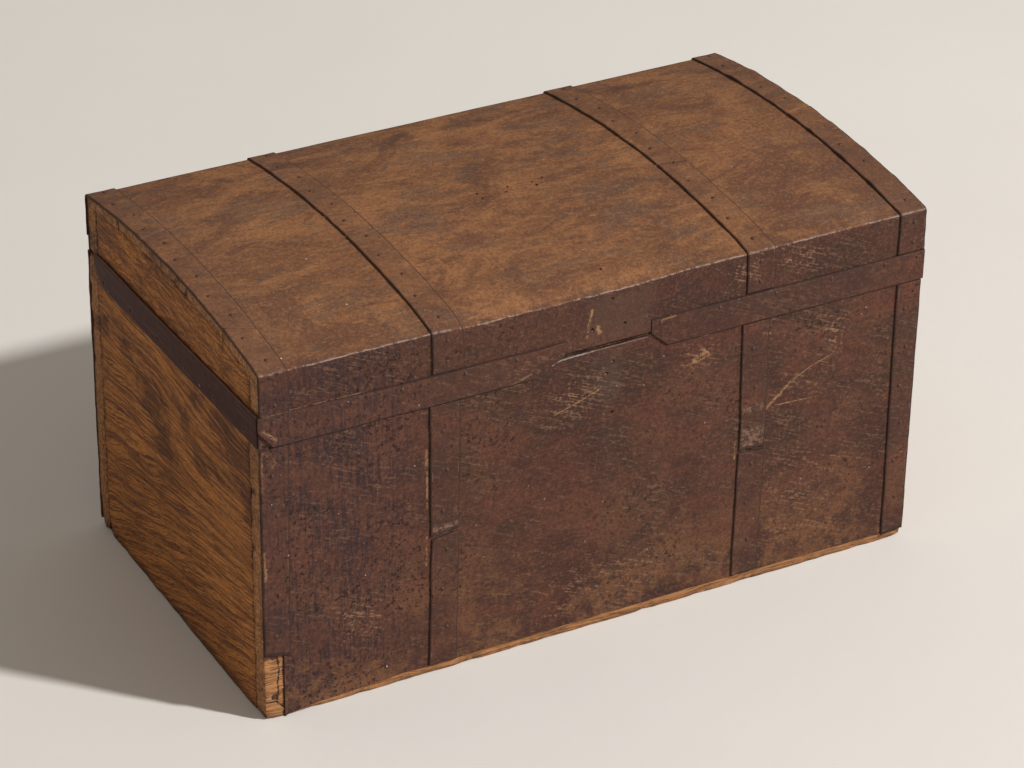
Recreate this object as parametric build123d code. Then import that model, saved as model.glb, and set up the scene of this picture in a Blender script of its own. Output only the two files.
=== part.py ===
"""Shallow-domed travelling chest: a nailed box of boards with a hinged, strap-bound lid.

Millimetres, +Z up, front towards -Y, length along X.
The origin is the middle of the whole chest's outline, on the floor.
"""
from build123d import *
import math
import os

# ---- driving dimensions ------------------------------------------------------------------
body_length = 637.0          # end board to end board, outside
body_depth = 350.0           # front board to back board, outside
body_height = 282.0          # floor to the joint between body and lid
lid_height_at_edge = 53.0    # joint to the crease where the dome starts
dome_rise = 15.0             # how far the middle of the lid stands above that crease
board_thickness = 18.0
bottom_thickness = 12.0
bottom_lift = 4.0            # the bottom planks stay this far off the floor
stave_thickness = 10.0
stave_count = 5
cover_thickness = 1.0        # thin brown sheet on front, back and lid
strap_thickness = 1.4
skirt_thickness = 1.6
lip_thickness = 1.5
seam = 0.3                   # hairline gap between neighbouring boards
lid_gap = 0.6                # height of the joint between body and lid
lid_inset = 1.5              # lid ends sit this far inside the end lips
lid_overhang = 0.4           # lid front stands this far in front of the body front
crease_radius = 3.0          # the cover's bend along the front and back creases

strap_width = 28.0
inner_strap_x = 150.0        # middle of the two inner straps, either side of centre
corner_strap_x = 305.5       # middle of the two corner straps
skirt_height = 29.0
skirt_drop = 15.5            # how far the skirt hangs over the body
lip_height = 31.0

tack_head_radius = 2.3
tack_head_height = 0.9
tack_shank_radius = 0.8
tack_hole_radius = 0.85
tack_length = 9.0
nail_radius = 1.3
nail_head_radius = 2.6
nail_head_height = 0.8
nail_length = 34.0

hinge_x = 205.0              # middle of each hinge, either side of centre
hinge_width = 44.0
hinge_leaf_height = 34.0
hinge_leaf_thickness = 1.6
hinge_barrel_radius = 3.5
hinge_pin_radius = 1.6
hinge_pin_clearance = 0.05
hinge_knuckle_gap = 0.4

# ---- places worked out from them -----------------------------------------------------------
tack_stand = skirt_thickness + tack_head_height
front_reach = lid_overhang + cover_thickness + tack_stand
back_reach = cover_thickness + 2 * hinge_barrel_radius
front_y = -(body_depth + back_reach - front_reach) / 2      # outside of the front board
back_y = front_y + body_depth                               # outside of the back board
body_end = body_length / 2
inner_end = body_end - board_thickness
lid_end = body_end - lid_inset
lid_base = body_height + lid_gap
crease_z = body_height + lid_height_at_edge
crest_z = crease_z + dome_rise
lid_front_y = front_y - lid_overhang
cover_front_y = front_y - cover_thickness
lid_cover_front_y = lid_front_y - cover_thickness
back_cover_y = back_y + cover_thickness
dome_mid_y = (lid_cover_front_y + back_cover_y) / 2
dome_half_chord = (back_cover_y - lid_cover_front_y) / 2
dome_radius = (dome_half_chord**2 + dome_rise**2) / (2 * dome_rise)
dome_centre_z = crest_z - dome_radius
skirt_top = body_height - skirt_drop + skirt_height
skirt_bottom = body_height - skirt_drop
hinge_axis_y = back_cover_y + hinge_barrel_radius
hinge_axis_z = body_height + lid_gap / 2
far = 2000.0                 # longer than anything here, for cutting tools

parts = {}


# ---- helpers --------------------------------------------------------------------------------
def block(x_low, x_high, y_low, y_high, z_low, z_high):
    """A box given by its limits."""
    middle = ((x_low + x_high) / 2, (y_low + y_high) / 2, (z_low + z_high) / 2)
    return Pos(*middle) * Box(x_high - x_low, y_high - y_low, z_high - z_low)


def front_plate(outline, y_inside, thickness):
    """A flat plate on the front of the chest, from its outline in x and z."""
    plane = Plane((0, y_inside, 0), x_dir=(1, 0, 0), z_dir=(0, -1, 0))
    face = make_face(plane * Polyline(*outline, close=True))
    return extrude(face, amount=thickness, dir=(0, -1, 0))


def end_plate(outline, x_inside, thickness, outward):
    """A flat plate on an end of the chest, from its outline in y and z."""
    plane = Plane((x_inside, 0, 0), x_dir=(0, 1, 0), z_dir=(1, 0, 0))
    face = make_face(plane * Polyline(*outline, close=True))
    return extrude(face, amount=thickness, dir=(outward, 0, 0))


def floor_prism(outline, z_low, z_high):
    """A vertical prism from an outline in x and y, used to cut straps out of the dome's skin."""
    face = make_face(Plane((0, 0, z_low)) * Polyline(*outline, close=True))
    return extrude(face, amount=z_high - z_low, dir=(0, 0, 1))


def dome_solid(shrink, half_length, base, bend):
    """The lid's outer form, set in from the cover's outside by `shrink`, as one solid."""
    front = lid_cover_front_y + shrink
    back = back_cover_y - shrink
    radius = dome_radius - shrink
    edge_z = dome_centre_z + math.sqrt(radius**2 - (back - dome_mid_y) ** 2)
    sides = Polyline((front, edge_z), (front, base), (back, base), (back, edge_z))
    arch = ThreePointArc((back, edge_z), (dome_mid_y, dome_centre_z + radius), (front, edge_z))
    face = make_face(Plane.YZ * (sides + arch))
    solid = extrude(face, amount=half_length, both=True)
    if bend > 0:
        long_edges = solid.edges().filter_by(Axis.X).group_by(Axis.Z)[-1]
        solid = fillet(long_edges, bend)
    return solid


def dome_point(y, height=0.0):
    """The point of the dome's cover above y, raised by `height`, and its outward direction."""
    lean = math.asin((y - dome_mid_y) / dome_radius)
    reach = dome_radius + height
    point = (dome_mid_y + reach * math.sin(lean), dome_centre_z + reach * math.cos(lean))
    return point, (0, math.sin(lean), math.cos(lean))


def placed(shape, point, outward):
    """A shape made along +Z, moved to a point and turned to face outward."""
    side = (1, 0, 0) if abs(outward[0]) < 0.9 else (0, 1, 0)
    return Plane(origin=point, x_dir=side, z_dir=outward).location * shape


def without(shape, tools):
    """The shape with every tool that reaches its box cut out of it."""
    box = shape.bounding_box()
    near = [tool for tool in tools if tool.bounding_box().overlaps(box)]
    return shape - near if near else shape


def lens_head(radius, height):
    """A low domed nail head, flat side on z = 0."""
    sphere_radius = (radius**2 + height**2) / (2 * height)
    ball = Pos(0, 0, height - sphere_radius) * Sphere(sphere_radius)
    return ball & block(-radius, radius, -radius, radius, 0, height)


tack_shank = Pos(0, 0, -tack_length / 2) * Cylinder(tack_shank_radius, tack_length)
tack = lens_head(tack_head_radius, tack_head_height) + tack_shank
tack_hole = Pos(0, 0, -tack_length / 2) * Cylinder(tack_hole_radius, tack_length + 0.4)


def sunk_nail(growth):
    """A nail whose flat head lies flush with the wood, made larger all round by `growth`."""
    shank = Cylinder(nail_radius + growth, nail_length + 2 * growth)
    head = Cylinder(nail_head_radius + growth, nail_head_height + 2 * growth)
    return Pos(0, 0, -nail_length / 2) * shank + Pos(0, 0, -nail_head_height / 2) * head


nail = sunk_nail(0.0)
nail_hole = sunk_nail(0.05)


def keep(name, shape):
    """Remember a finished piece under its node's name."""
    parts[name] = shape


# ---- where the tacks, nails and empty holes are ----------------------------------------------
front_direction = (0, -1, 0)
back_direction = (0, 1, 0)
strap_centres = (-corner_strap_x, -inner_strap_x, inner_strap_x, corner_strap_x)
front_strap_top = skirt_bottom - 0.8
body_tack_pitch = 39.0
body_tack_rows = [45.0 + body_tack_pitch * row for row in range(6)]
bare_patch_top = 62.0        # the left corner strap is broken off below this height

front_tacks = [
    ((x + 2.0 * (-1) ** row, cover_front_y - strap_thickness, z), front_direction)
    for x in strap_centres
    for row, z in enumerate(body_tack_rows)
    if x > -corner_strap_x or z > bare_patch_top
]
back_tacks = [
    ((x - 2.0 * (-1) ** row, back_cover_y + strap_thickness, z), back_direction)
    for x in strap_centres
    for row, z in enumerate(body_tack_rows)
]
lid_tack_pitch = 33.0
lid_tack_rows = [lid_cover_front_y + 16.0 + lid_tack_pitch * row for row in range(11)]


def dome_tack(x, y):
    """Place of one tack on a lid strap."""
    (point_y, point_z), outward = dome_point(y, strap_thickness)
    return (x, point_y, point_z), outward


dome_tacks = [
    dome_tack(x + 2.5 * (-1) ** row, y) for x in strap_centres for row, y in enumerate(lid_tack_rows)
]
valance_tacks = [
    ((x + 1.5, lid_cover_front_y - strap_thickness, z), front_direction)
    for x in strap_centres
    for z in (skirt_top + 10.0, crease_z - 10.0)
]
lid_back_tacks = [
    ((x, back_cover_y + strap_thickness, z), back_direction)
    for x in strap_centres
    for z in (lid_base + 14.0, crease_z - 12.0)
]
lid_strap_tack_places = dome_tacks + valance_tacks + lid_back_tacks
skirt_tack_x = [-306.0, -246.0, -190.0, -132.0, -84.0, 54.0, 112.0, 168.0, 224.0, 279.0, 312.0]
skirt_tacks = [
    ((x, lid_cover_front_y - skirt_thickness, skirt_top - 5.5), front_direction)
    for x in skirt_tack_x
]
lip_tack_y = [front_y + 26.0 + 58.0 * place for place in range(6)]
lip_low_front = body_height - 15.0
lip_low_back = body_height - 22.0
lip_front_y = front_y + 0.4
lip_back_y = back_y - 16.0


def lip_low(y):
    """Height of an end lip's lower edge: it drops a little towards the back."""
    share = (y - lip_front_y) / (lip_back_y - lip_front_y)
    return lip_low_front + (lip_low_back - lip_low_front) * share


lip_tacks = [
    ((side * (body_end + lip_thickness), y, lip_low(y) + 5.5), (side, 0, 0))
    for side in (-1, 1)
    for y in lip_tack_y
]
corner_nail_heights = (22.0, 62.0, 118.0, 176.0, 236.0)
carcass_nail_places = [
    ((side * (inner_end + board_thickness / 2), y, z), direction)
    for side in (-1, 1)
    for y, direction in ((front_y, front_direction), (back_y, back_direction))
    for z in corner_nail_heights
]
lid_nail_places = [
    ((side * (lid_end - board_thickness / 2), y, lid_base + 33.0), direction)
    for side in (-1, 1)
    for y, direction in ((lid_front_y, front_direction), (back_y, back_direction))
]

# Holes left by the lost top handle, the lost hasp and the lost lock.
handle_holes = [
    (-28.5, -0.5),
    (-28.5, -10.5),
    (-4.5, -8.5),
    (1.0, -0.5),
    (24.0, -2.0),
    (25.5, -8.5),
    (36.0, 1.5),
    (9.5, -150.0),
]
lid_front_holes = [(7.0, crease_z - 9.0), (-11.5, skirt_top + 3.5), (19.5, skirt_top + 2.5)]
body_front_holes = [(9.5, 264.5), (3.0, 254.0), (10.0, 213.0), (4.0, 121.0)]
scar_radius = 1.5
scar_depth = 14.0
scar_tool = Pos(0, 0, -scar_depth / 2 + 1) * Cylinder(scar_radius, scar_depth + 2)
scar_tools = []
for x, y in handle_holes:
    (point_y, point_z), outward = dome_point(dome_mid_y + y)
    scar_tools.append(placed(scar_tool, (x, point_y, point_z), outward))
scar_tools += [placed(scar_tool, (x, lid_cover_front_y, z), front_direction) for x, z in lid_front_holes]
scar_tools += [placed(scar_tool, (x, cover_front_y, z), front_direction) for x, z in body_front_holes]

tack_places = front_tacks + back_tacks + lid_strap_tack_places + skirt_tacks + lip_tacks
tack_tools = [placed(tack_hole, point, outward) for point, outward in tack_places]
nail_tools = [placed(nail_hole, point, outward) for point, outward in carcass_nail_places + lid_nail_places]
sheet_tools = tack_tools + scar_tools

# ---- hinges (two, outside the back) ------------------------------------------------------------
screw_offsets = [(-15.0, 12.0), (0.0, 24.0), (15.0, 12.0)]
screw_shank_radius = 1.6
screw_head_radius = 3.4
screw_length = 12.0
screw_body = Pos(0, 0, -screw_length / 2) * Cylinder(screw_shank_radius, screw_length)
screw_cone = Pos(0, 0, -0.7) * Cone(screw_shank_radius, screw_head_radius, 1.4)
screw_slot = block(-screw_head_radius, screw_head_radius, -0.4, 0.4, -0.6, 1.0)
screw = screw_body + screw_cone - screw_slot
screw_clearance = 0.05
screw_hole = Pos(0, 0, -screw_length / 2) * Cylinder(screw_shank_radius + screw_clearance, screw_length + 0.4)
screw_hole += Pos(0, 0, -0.7) * Cone(
    screw_shank_radius + screw_clearance, screw_head_radius + screw_clearance, 1.4
)


def hinge_leaf(centre_x, upward):
    """One leaf with its knuckles: the lid's leaf (upward 1) has one, the body's (-1) has two."""
    third = hinge_width / 3
    root_y = back_cover_y
    plate_near = hinge_axis_z + upward * (hinge_barrel_radius + 0.6)
    plate_far = hinge_axis_z + upward * hinge_leaf_height
    low, high = sorted((plate_near, plate_far))
    half = hinge_width / 2
    leaf = block(centre_x - half, centre_x + half, root_y, root_y + hinge_leaf_thickness, low, high)
    spans = [(-third / 2, third / 2)] if upward > 0 else [(-half, -third / 2), (third / 2, half)]
    for start, stop in spans:
        start += hinge_knuckle_gap / 2 if start > -half else 0.0
        stop -= hinge_knuckle_gap / 2 if stop < half else 0.0
        middle = centre_x + (start + stop) / 2
        barrel = Pos(middle, hinge_axis_y, hinge_axis_z) * Rot(0, 90, 0) * Cylinder(
            hinge_barrel_radius, stop - start
        )
        web_low, web_high = sorted((hinge_axis_z, plate_near + upward))
        web = block(
            centre_x + start, centre_x + stop, root_y, root_y + hinge_leaf_thickness, web_low, web_high
        )
        leaf += barrel + web
    bore = Pos(centre_x, hinge_axis_y, hinge_axis_z) * Rot(0, 90, 0) * Cylinder(
        hinge_pin_radius + hinge_pin_clearance, hinge_width + 2
    )
    return leaf - bore


def screw_places(centre_x, upward):
    """The three screws of one leaf."""
    face_y = back_cover_y + hinge_leaf_thickness
    return [
        ((centre_x + x, face_y, hinge_axis_z + upward * z), back_direction) for x, z in screw_offsets
    ]


screw_tools = {1: [], -1: []}
for side, side_name in ((-1, "left"), (1, "right")):
    for upward, owner in ((-1, "body"), (1, "lid")):
        places = screw_places(side * hinge_x, upward)
        tools = [placed(screw_hole, point, outward) for point, outward in places]
        screw_tools[upward] += tools
        keep(f"hinge_{side_name}_{owner}_leaf", without(hinge_leaf(side * hinge_x, upward), tools))
    pin_place = Pos(side * hinge_x, hinge_axis_y, hinge_axis_z) * Rot(0, 90, 0)
    keep(f"hinge_{side_name}_pin", pin_place * Cylinder(hinge_pin_radius, hinge_width))
for upward, owner in ((-1, "body"), (1, "lid")):
    places = screw_places(-hinge_x, upward) + screw_places(hinge_x, upward)
    keep(f"{owner}_hinge_screws", Compound([placed(screw, point, outward) for point, outward in places]))

body_sheet_tools = sheet_tools + screw_tools[-1]
lid_sheet_tools = sheet_tools + screw_tools[1]
body_tools = body_sheet_tools + nail_tools
lid_tools = lid_sheet_tools + nail_tools

# ---- the body's boards --------------------------------------------------------------------------
front_board = block(-body_end, body_end, front_y, front_y + board_thickness, 0, body_height)
back_board = block(-body_end, body_end, back_y - board_thickness, back_y, 0, body_height)
keep("front_board", without(front_board, body_tools))
keep("back_board", without(back_board, body_tools))
end_front = front_y + board_thickness + seam
end_back = back_y - board_thickness - seam
for side, side_name in ((-1, "left"), (1, "right")):
    inside, outside = sorted((side * inner_end, side * body_end))
    end_board = block(inside, outside, end_front, end_back, 0, body_height)
    keep(f"{side_name}_end_board", without(end_board, body_tools))

plank_names = ("front", "middle", "rear")
plank_pitch = (end_back - end_front) / len(plank_names)
for place, plank_name in enumerate(plank_names):
    low = end_front + plank_pitch * place
    plank = block(
        -inner_end + seam,
        inner_end - seam,
        low + seam,
        low + plank_pitch - seam,
        bottom_lift,
        bottom_lift + bottom_thickness,
    )
    keep(f"bottom_plank_{plank_name}", plank)

# ---- the body's thin cover sheets ----------------------------------------------------------------
front_cover_outline = [
    (-body_end, body_height),
    (-body_end, bare_patch_top + 2.0),
    (-300.0, bare_patch_top - 5.0),
    (-300.0, 1.5),
    (-275.0, 4.5),
    (-190.0, 8.5),
    (80.0, 10.0),
    (body_end, 8.0),
    (body_end, body_height),
]
front_cover = front_plate(front_cover_outline, front_y, cover_thickness)
keep("front_cover", without(front_cover, body_sheet_tools))
back_cover = block(-body_end, body_end, back_y, back_cover_y, 6.0, body_height)
keep("back_cover", without(back_cover, body_sheet_tools))

# ---- straps on the body's front -----------------------------------------------------------------
half_strap = strap_width / 2


def front_strap(name, centre, corners):
    """A flat strap on the front; corners are offsets from its middle line, with heights."""
    outline = [(centre + x, z) for x, z in corners]
    strap = front_plate(outline, cover_front_y, strap_thickness)
    keep(name, without(strap, sheet_tools))


front_strap(
    "front_strap_left_corner",
    -corner_strap_x,
    [
        (-half_strap + 1, front_strap_top),
        (-half_strap + 1, bare_patch_top + 2.0),
        (half_strap - 8, bare_patch_top - 4.0),
        (half_strap - 2, bare_patch_top),
        (half_strap - 2, front_strap_top),
    ],
)
front_strap(
    "front_strap_right_corner",
    corner_strap_x,
    [
        (-half_strap + 2, front_strap_top),
        (-half_strap + 4, 8.2),
        (half_strap - 3, 9.0),
        (half_strap - 1, 14.0),
        (half_strap - 1, front_strap_top),
    ],
)
for side_name, centre, join in (("left", -inner_strap_x, 142.0), ("right", inner_strap_x, 144.0)):
    front_strap(
        f"front_strap_{side_name}_upper",
        centre,
        [
            (-half_strap, front_strap_top),
            (-half_strap + 2, join + 10),
            (half_strap - 1, join - 8),
            (half_strap, front_strap_top),
        ],
    )
    front_strap(
        f"front_strap_{side_name}_lower",
        centre,
        [(-half_strap + 1, join + 9), (-half_strap, 10.5), (half_strap - 2, 10.5), (half_strap - 1, join - 9)],
    )

# ---- straps on the body's back ----------------------------------------------------------------------
for number, centre in enumerate(strap_centres, start=1):
    low, high = centre - half_strap + 1, centre + half_strap - 1
    strap = block(low, high, back_cover_y, back_cover_y + strap_thickness, 7.0, body_height - 0.8)
    keep(f"back_strap_{number}", without(strap, sheet_tools))

# ---- lips on the body's ends, which guide the lid ---------------------------------------------------
for side, side_name in ((-1, "left"), (1, "right")):
    lip_outline = [
        (lip_front_y, lip_low_front + 4.0),
        (lip_front_y + 8.0, lip_low_front + 0.5),
        (lip_back_y - 12.0, lip_low_back),
        (lip_back_y - 4.0, lip_low_back + 12.0),
        (lip_back_y, lip_low_back + lip_height - 3.0),
        (lip_back_y - 5.0, lip_low_back + lip_height - 2.0),
        (lip_front_y, lip_low_front + lip_height - 1.0),
    ]
    lip = end_plate(lip_outline, side * body_end, lip_thickness, side)
    keep(f"{side_name}_end_lip", without(lip, sheet_tools))

# ---- the lid's boards -----------------------------------------------------------------------------------
under_cover = dome_solid(cover_thickness, lid_end, lid_base, crease_radius - cover_thickness)
rail_front = block(-lid_end, lid_end, lid_front_y, lid_front_y + board_thickness, lid_base, crest_z)
rail_back = block(-lid_end, lid_end, back_y - board_thickness, back_y, lid_base, crest_z)
stave_radius = dome_radius - cover_thickness - stave_thickness
under_staves = Pos(0, dome_mid_y, dome_centre_z) * Rot(0, 90, 0) * Cylinder(stave_radius, far)
keep("lid_front_rail", without(rail_front & under_staves, lid_tools))
keep("lid_back_rail", without(rail_back & under_staves, lid_tools))
for side, side_name in ((-1, "left"), (1, "right")):
    inside, outside = sorted((side * (lid_end - board_thickness), side * lid_end))
    lid_side = block(
        inside,
        outside,
        lid_front_y + board_thickness + seam,
        back_y - board_thickness - seam,
        lid_base,
        crest_z,
    )
    keep(f"lid_{side_name}_end", without(lid_side & under_staves, lid_tools))

stave_layer = under_cover - under_staves
stave_pitch = 2 * dome_half_chord / stave_count
for number in range(1, stave_count + 1):
    low = lid_cover_front_y + stave_pitch * (number - 1)
    slice_box = block(-far, far, low + seam / 2, low + stave_pitch - seam / 2, lid_base, crest_z + 1)
    keep(f"lid_stave_{number}", without(stave_layer & slice_box, lid_tools))

# ---- the lid's thin cover, bent over front, dome and back -----------------------------------------------
cover_outside = dome_solid(0, lid_end + 0.6, lid_base, crease_radius)
cover_core = dome_solid(cover_thickness, far, lid_base - far, crease_radius - cover_thickness)
keep("lid_cover", without(cover_outside - cover_core, lid_sheet_tools))

# ---- the skirt nailed along the lid's front, hanging over the body ---------------------------------------
lock_left = -38.0            # the skirt is cut away here for the lost lock
lock_right = 45.5
skirt_end = body_end + 1.0
left_skirt_outline = [
    (-skirt_end, skirt_top),
    (-skirt_end, skirt_bottom + 17.0),
    (-skirt_end + 14.0, skirt_bottom),
    (lock_left - 27.0, skirt_bottom),
    (lock_left, body_height - 0.5),
    (lock_left, skirt_top - 1.0),
]
right_skirt_outline = [
    (lock_right, skirt_top - 1.0),
    (lock_right, body_height - 0.5),
    (lock_right + 17.0, skirt_bottom),
    (skirt_end, skirt_bottom),
    (skirt_end, skirt_top),
]
for side_name, outline in (("left", left_skirt_outline), ("right", right_skirt_outline)):
    skirt = front_plate(outline, lid_cover_front_y, skirt_thickness)
    keep(f"lid_skirt_{side_name}", without(skirt, sheet_tools))

# ---- straps over the lid -----------------------------------------------------------------------------------
strap_skin = dome_solid(-strap_thickness, lid_end + 1.0, lid_base, crease_radius + strap_thickness)
strap_skin -= dome_solid(0, far, lid_base - far, crease_radius)
strap_foot = skirt_top + 0.8
past_front = (-10.0, -10.0)
past_back = (2 * dome_half_chord + 10.0, 2 * dome_half_chord + 10.0)


def lid_strap(name, x_rear, x_front, near_cut, far_cut):
    """One piece of strap over the dome, between two cross cuts.

    A cut is given by how far it lies behind the lid's front at the strap's left and right edges.
    x_rear and x_front are the strap's middle line at the back and the front of the lid.
    """
    corners = []
    for edge, distance in ((-1, near_cut[0]), (1, near_cut[1]), (1, far_cut[1]), (-1, far_cut[0])):
        middle = x_front + (x_rear - x_front) * distance / past_back[0]
        corners.append((middle + edge * (half_strap - 0.5), lid_cover_front_y + distance))
    strap = strap_skin & floor_prism(corners, strap_foot, crest_z + 10)
    keep(name, without(strap, sheet_tools))


strap_runs = {
    "left_edge": (-305.0, -304.5, [(68.0, 56.0), (230.0, 238.0)]),
    "left_inner": (-151.5, -147.5, [(156.0, 158.0), (196.0, 191.0)]),
    "right_inner": (148.0, 152.5, [(152.0, 146.0)]),
    "right_edge": (304.5, 305.5, [(185.0, 189.0)]),
}
piece_names = {1: ("front", "rear"), 2: ("front", "middle", "rear")}
for strap_name, (x_rear, x_front, joins) in strap_runs.items():
    near_cuts = [past_front] + [(left + seam, right + seam) for left, right in joins]
    far_cuts = [(left - seam, right - seam) for left, right in joins] + [past_back]
    for piece_name, near_cut, far_cut in zip(piece_names[len(joins)], near_cuts, far_cuts):
        lid_strap(f"lid_strap_{strap_name}_{piece_name}", x_rear, x_front, near_cut, far_cut)

# ---- tacks and nails, one node for each group -----------------------------------------------------------------
tack_groups = {
    "front_strap_tacks": front_tacks,
    "back_strap_tacks": back_tacks,
    "end_lip_tacks": lip_tacks,
    "lid_strap_tacks": lid_strap_tack_places,
    "lid_skirt_tacks": skirt_tacks,
}
for name, places in tack_groups.items():
    keep(name, Compound([placed(tack, point, outward) for point, outward in places]))
keep("carcass_nails", Compound([placed(nail, point, outward) for point, outward in carcass_nail_places]))
keep("lid_frame_nails", Compound([placed(nail, point, outward) for point, outward in lid_nail_places]))

os.makedirs("parts", exist_ok=True)
for name, shape in parts.items():
    export_step(shape, f"parts/{name}.step")
print(len(parts), "nodes")
print("front_y", round(front_y, 2), "back_y", round(back_y, 2), "hinge axis", round(hinge_axis_y, 2), hinge_axis_z)
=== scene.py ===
# %% [markdown]
# # A strap-bound travelling chest
# The real chest is a nailed box of boards with a shallow-domed lid on two rear hinges. Painted hide
# covers the front and the lid, straps of the same hide bind it, and rows of iron tacks hold them.
# The ends are bare oak. The box and the hinge are already fixed by the CAD model, so this script only
# makes the surfaces: every piece takes its place and size from the CAD pieces that it stands for.

# %% Tools, and the fixed frame
import math
import random
from functools import reduce

import bmesh
import bpy
from mathutils import Matrix, Vector, noise


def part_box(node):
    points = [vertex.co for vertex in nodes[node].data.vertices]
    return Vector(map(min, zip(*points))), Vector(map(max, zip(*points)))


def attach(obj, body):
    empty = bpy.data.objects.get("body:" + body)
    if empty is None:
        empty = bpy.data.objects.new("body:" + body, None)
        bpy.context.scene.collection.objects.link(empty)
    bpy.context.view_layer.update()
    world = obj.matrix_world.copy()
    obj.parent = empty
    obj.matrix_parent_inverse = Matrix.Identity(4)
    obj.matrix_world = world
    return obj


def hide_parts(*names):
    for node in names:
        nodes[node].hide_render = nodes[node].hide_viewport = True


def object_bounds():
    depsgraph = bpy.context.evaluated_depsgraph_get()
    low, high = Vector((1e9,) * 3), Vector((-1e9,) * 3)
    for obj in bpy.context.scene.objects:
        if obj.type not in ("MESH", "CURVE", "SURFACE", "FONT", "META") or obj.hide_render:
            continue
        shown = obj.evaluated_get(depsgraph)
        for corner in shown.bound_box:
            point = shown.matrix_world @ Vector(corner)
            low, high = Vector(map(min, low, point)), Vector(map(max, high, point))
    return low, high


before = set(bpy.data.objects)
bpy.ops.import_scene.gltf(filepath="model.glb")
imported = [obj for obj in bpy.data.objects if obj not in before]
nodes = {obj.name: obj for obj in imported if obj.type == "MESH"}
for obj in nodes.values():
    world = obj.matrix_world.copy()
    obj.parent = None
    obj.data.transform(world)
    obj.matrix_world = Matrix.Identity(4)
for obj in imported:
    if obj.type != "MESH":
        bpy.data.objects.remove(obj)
cad_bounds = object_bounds()
mm = 0.001
print("CAD box", [tuple(round(value, 4) for value in corner) for corner in cad_bounds])

# %% [markdown]
# ## Shader sums in plain Python
# A finish is a chain of nodes, and most of them only add, subtract and multiply. A small class that
# wraps a node's output lets Python's own signs make those nodes, so a formula reads as a formula.
# Everything else goes through one method that takes the node's type, its settings and its inputs.


# %% The wire and the finish
class Wire:
    """One output of a node, which can take part in a sum."""

    def __init__(self, finish, socket):
        self.finish = finish
        self.socket = socket

    def sum(self, operation, left, right):
        return self.finish.node("ShaderNodeMath", {"operation": operation}, {0: left, 1: right})

    def __add__(self, other):
        return self.sum("ADD", self, other)

    def __radd__(self, other):
        return self.sum("ADD", other, self)

    def __sub__(self, other):
        return self.sum("SUBTRACT", self, other)

    def __rsub__(self, other):
        return self.sum("SUBTRACT", other, self)

    def __mul__(self, other):
        return self.sum("MULTIPLY", self, other)

    def __rmul__(self, other):
        return self.sum("MULTIPLY", other, self)

    def __truediv__(self, other):
        return self.sum("DIVIDE", self, other)

    def __pow__(self, other):
        return self.sum("POWER", self, other)

    def __abs__(self):
        return self.sum("ABSOLUTE", self, 0.0)


class Finish:
    """A material being mixed: it makes nodes, and joins them to what they are given."""

    def __init__(self, name):
        self.material = bpy.data.materials.new(name)
        self.material.use_nodes = True
        self.tree = self.material.node_tree
        self.shader = self.tree.nodes["Principled BSDF"]
        self.place = self.node("ShaderNodeTexCoord", output="Object")
        axes = self.node("ShaderNodeSeparateXYZ", {}, {0: self.place}, output=None)
        self.x, self.y, self.z = [Wire(self, axes.outputs[name]) for name in "XYZ"]

    def node(self, kind, settings=None, inputs=None, output=0):
        made = self.tree.nodes.new(kind)
        for setting, value in (settings or {}).items():
            setattr(made, setting, value)
        for key, value in (inputs or {}).items():
            if isinstance(value, Wire):
                self.tree.links.new(value.socket, made.inputs[key])
            else:
                made.inputs[key].default_value = value
        return made if output is None else Wire(self, made.outputs[output])

    def at(self, x, y, z):
        return self.node("ShaderNodeCombineXYZ", {}, {0: x, 1: y, 2: z})

    def cloud(self, size, stretch=(1, 1, 1), detail=4.0, rough=0.55, bend=0.0, place=None):
        """Noise from 0 to 1 with marks of about `size` metres, longer along axes that are stretched."""
        scale = [1.0 / (size * along) for along in stretch]
        moved = self.node("ShaderNodeVectorMath", {"operation": "MULTIPLY"}, {0: place or self.place, 1: scale})
        settings = {"Vector": moved, "Scale": 1.0, "Detail": detail, "Roughness": rough, "Distortion": bend}
        return self.node("ShaderNodeTexNoise", {}, settings)

    def step(self, value, low, high):
        """0 below low, 1 above high, and smooth between; the other way round if low is the larger."""
        settings = {"interpolation_type": "SMOOTHSTEP"}
        if low <= high:
            return self.node("ShaderNodeMapRange", settings, {0: value, 1: low, 2: high, 3: 0.0, 4: 1.0})
        return self.node("ShaderNodeMapRange", settings, {0: value, 1: high, 2: low, 3: 1.0, 4: 0.0})

    def larger(self, left, right):
        return self.node("ShaderNodeMath", {"operation": "MAXIMUM"}, {0: left, 1: right})

    def smaller(self, left, right):
        return self.node("ShaderNodeMath", {"operation": "MINIMUM"}, {0: left, 1: right})

    def blend(self, mask, first, second):
        """The first colour where the mask is 0, and the second where it is 1."""
        first, second = [(*c, 1.0) if isinstance(c, tuple) and len(c) == 3 else c for c in (first, second)]
        return self.node("ShaderNodeMix", {"data_type": "RGBA"}, {0: mask, 6: first, 7: second}, output=2)

    def mark(self, name):
        """A number stored on the piece's own points."""
        return self.node("ShaderNodeAttribute", {"attribute_name": name}, {}, output="Fac")

    def done(self, colour, roughness, relief, depth, specular, metallic=0.0):
        """Joins what varies to the shader; `depth` is how deep the relief's bumps are, in metres."""
        for key, value in (("Base Color", colour), ("Roughness", roughness), ("Metallic", metallic)):
            if isinstance(value, Wire):
                self.tree.links.new(value.socket, self.shader.inputs[key])
            else:
                self.shader.inputs[key].default_value = value
        self.shader.inputs["Specular IOR Level"].default_value = specular
        bump = self.node("ShaderNodeBump", {}, {"Height": relief, "Distance": depth}, output="Normal")
        self.tree.links.new(bump.socket, self.shader.inputs["Normal"])
        print("finish", self.material.name, len(self.tree.nodes), "nodes")
        return self.material


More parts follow.
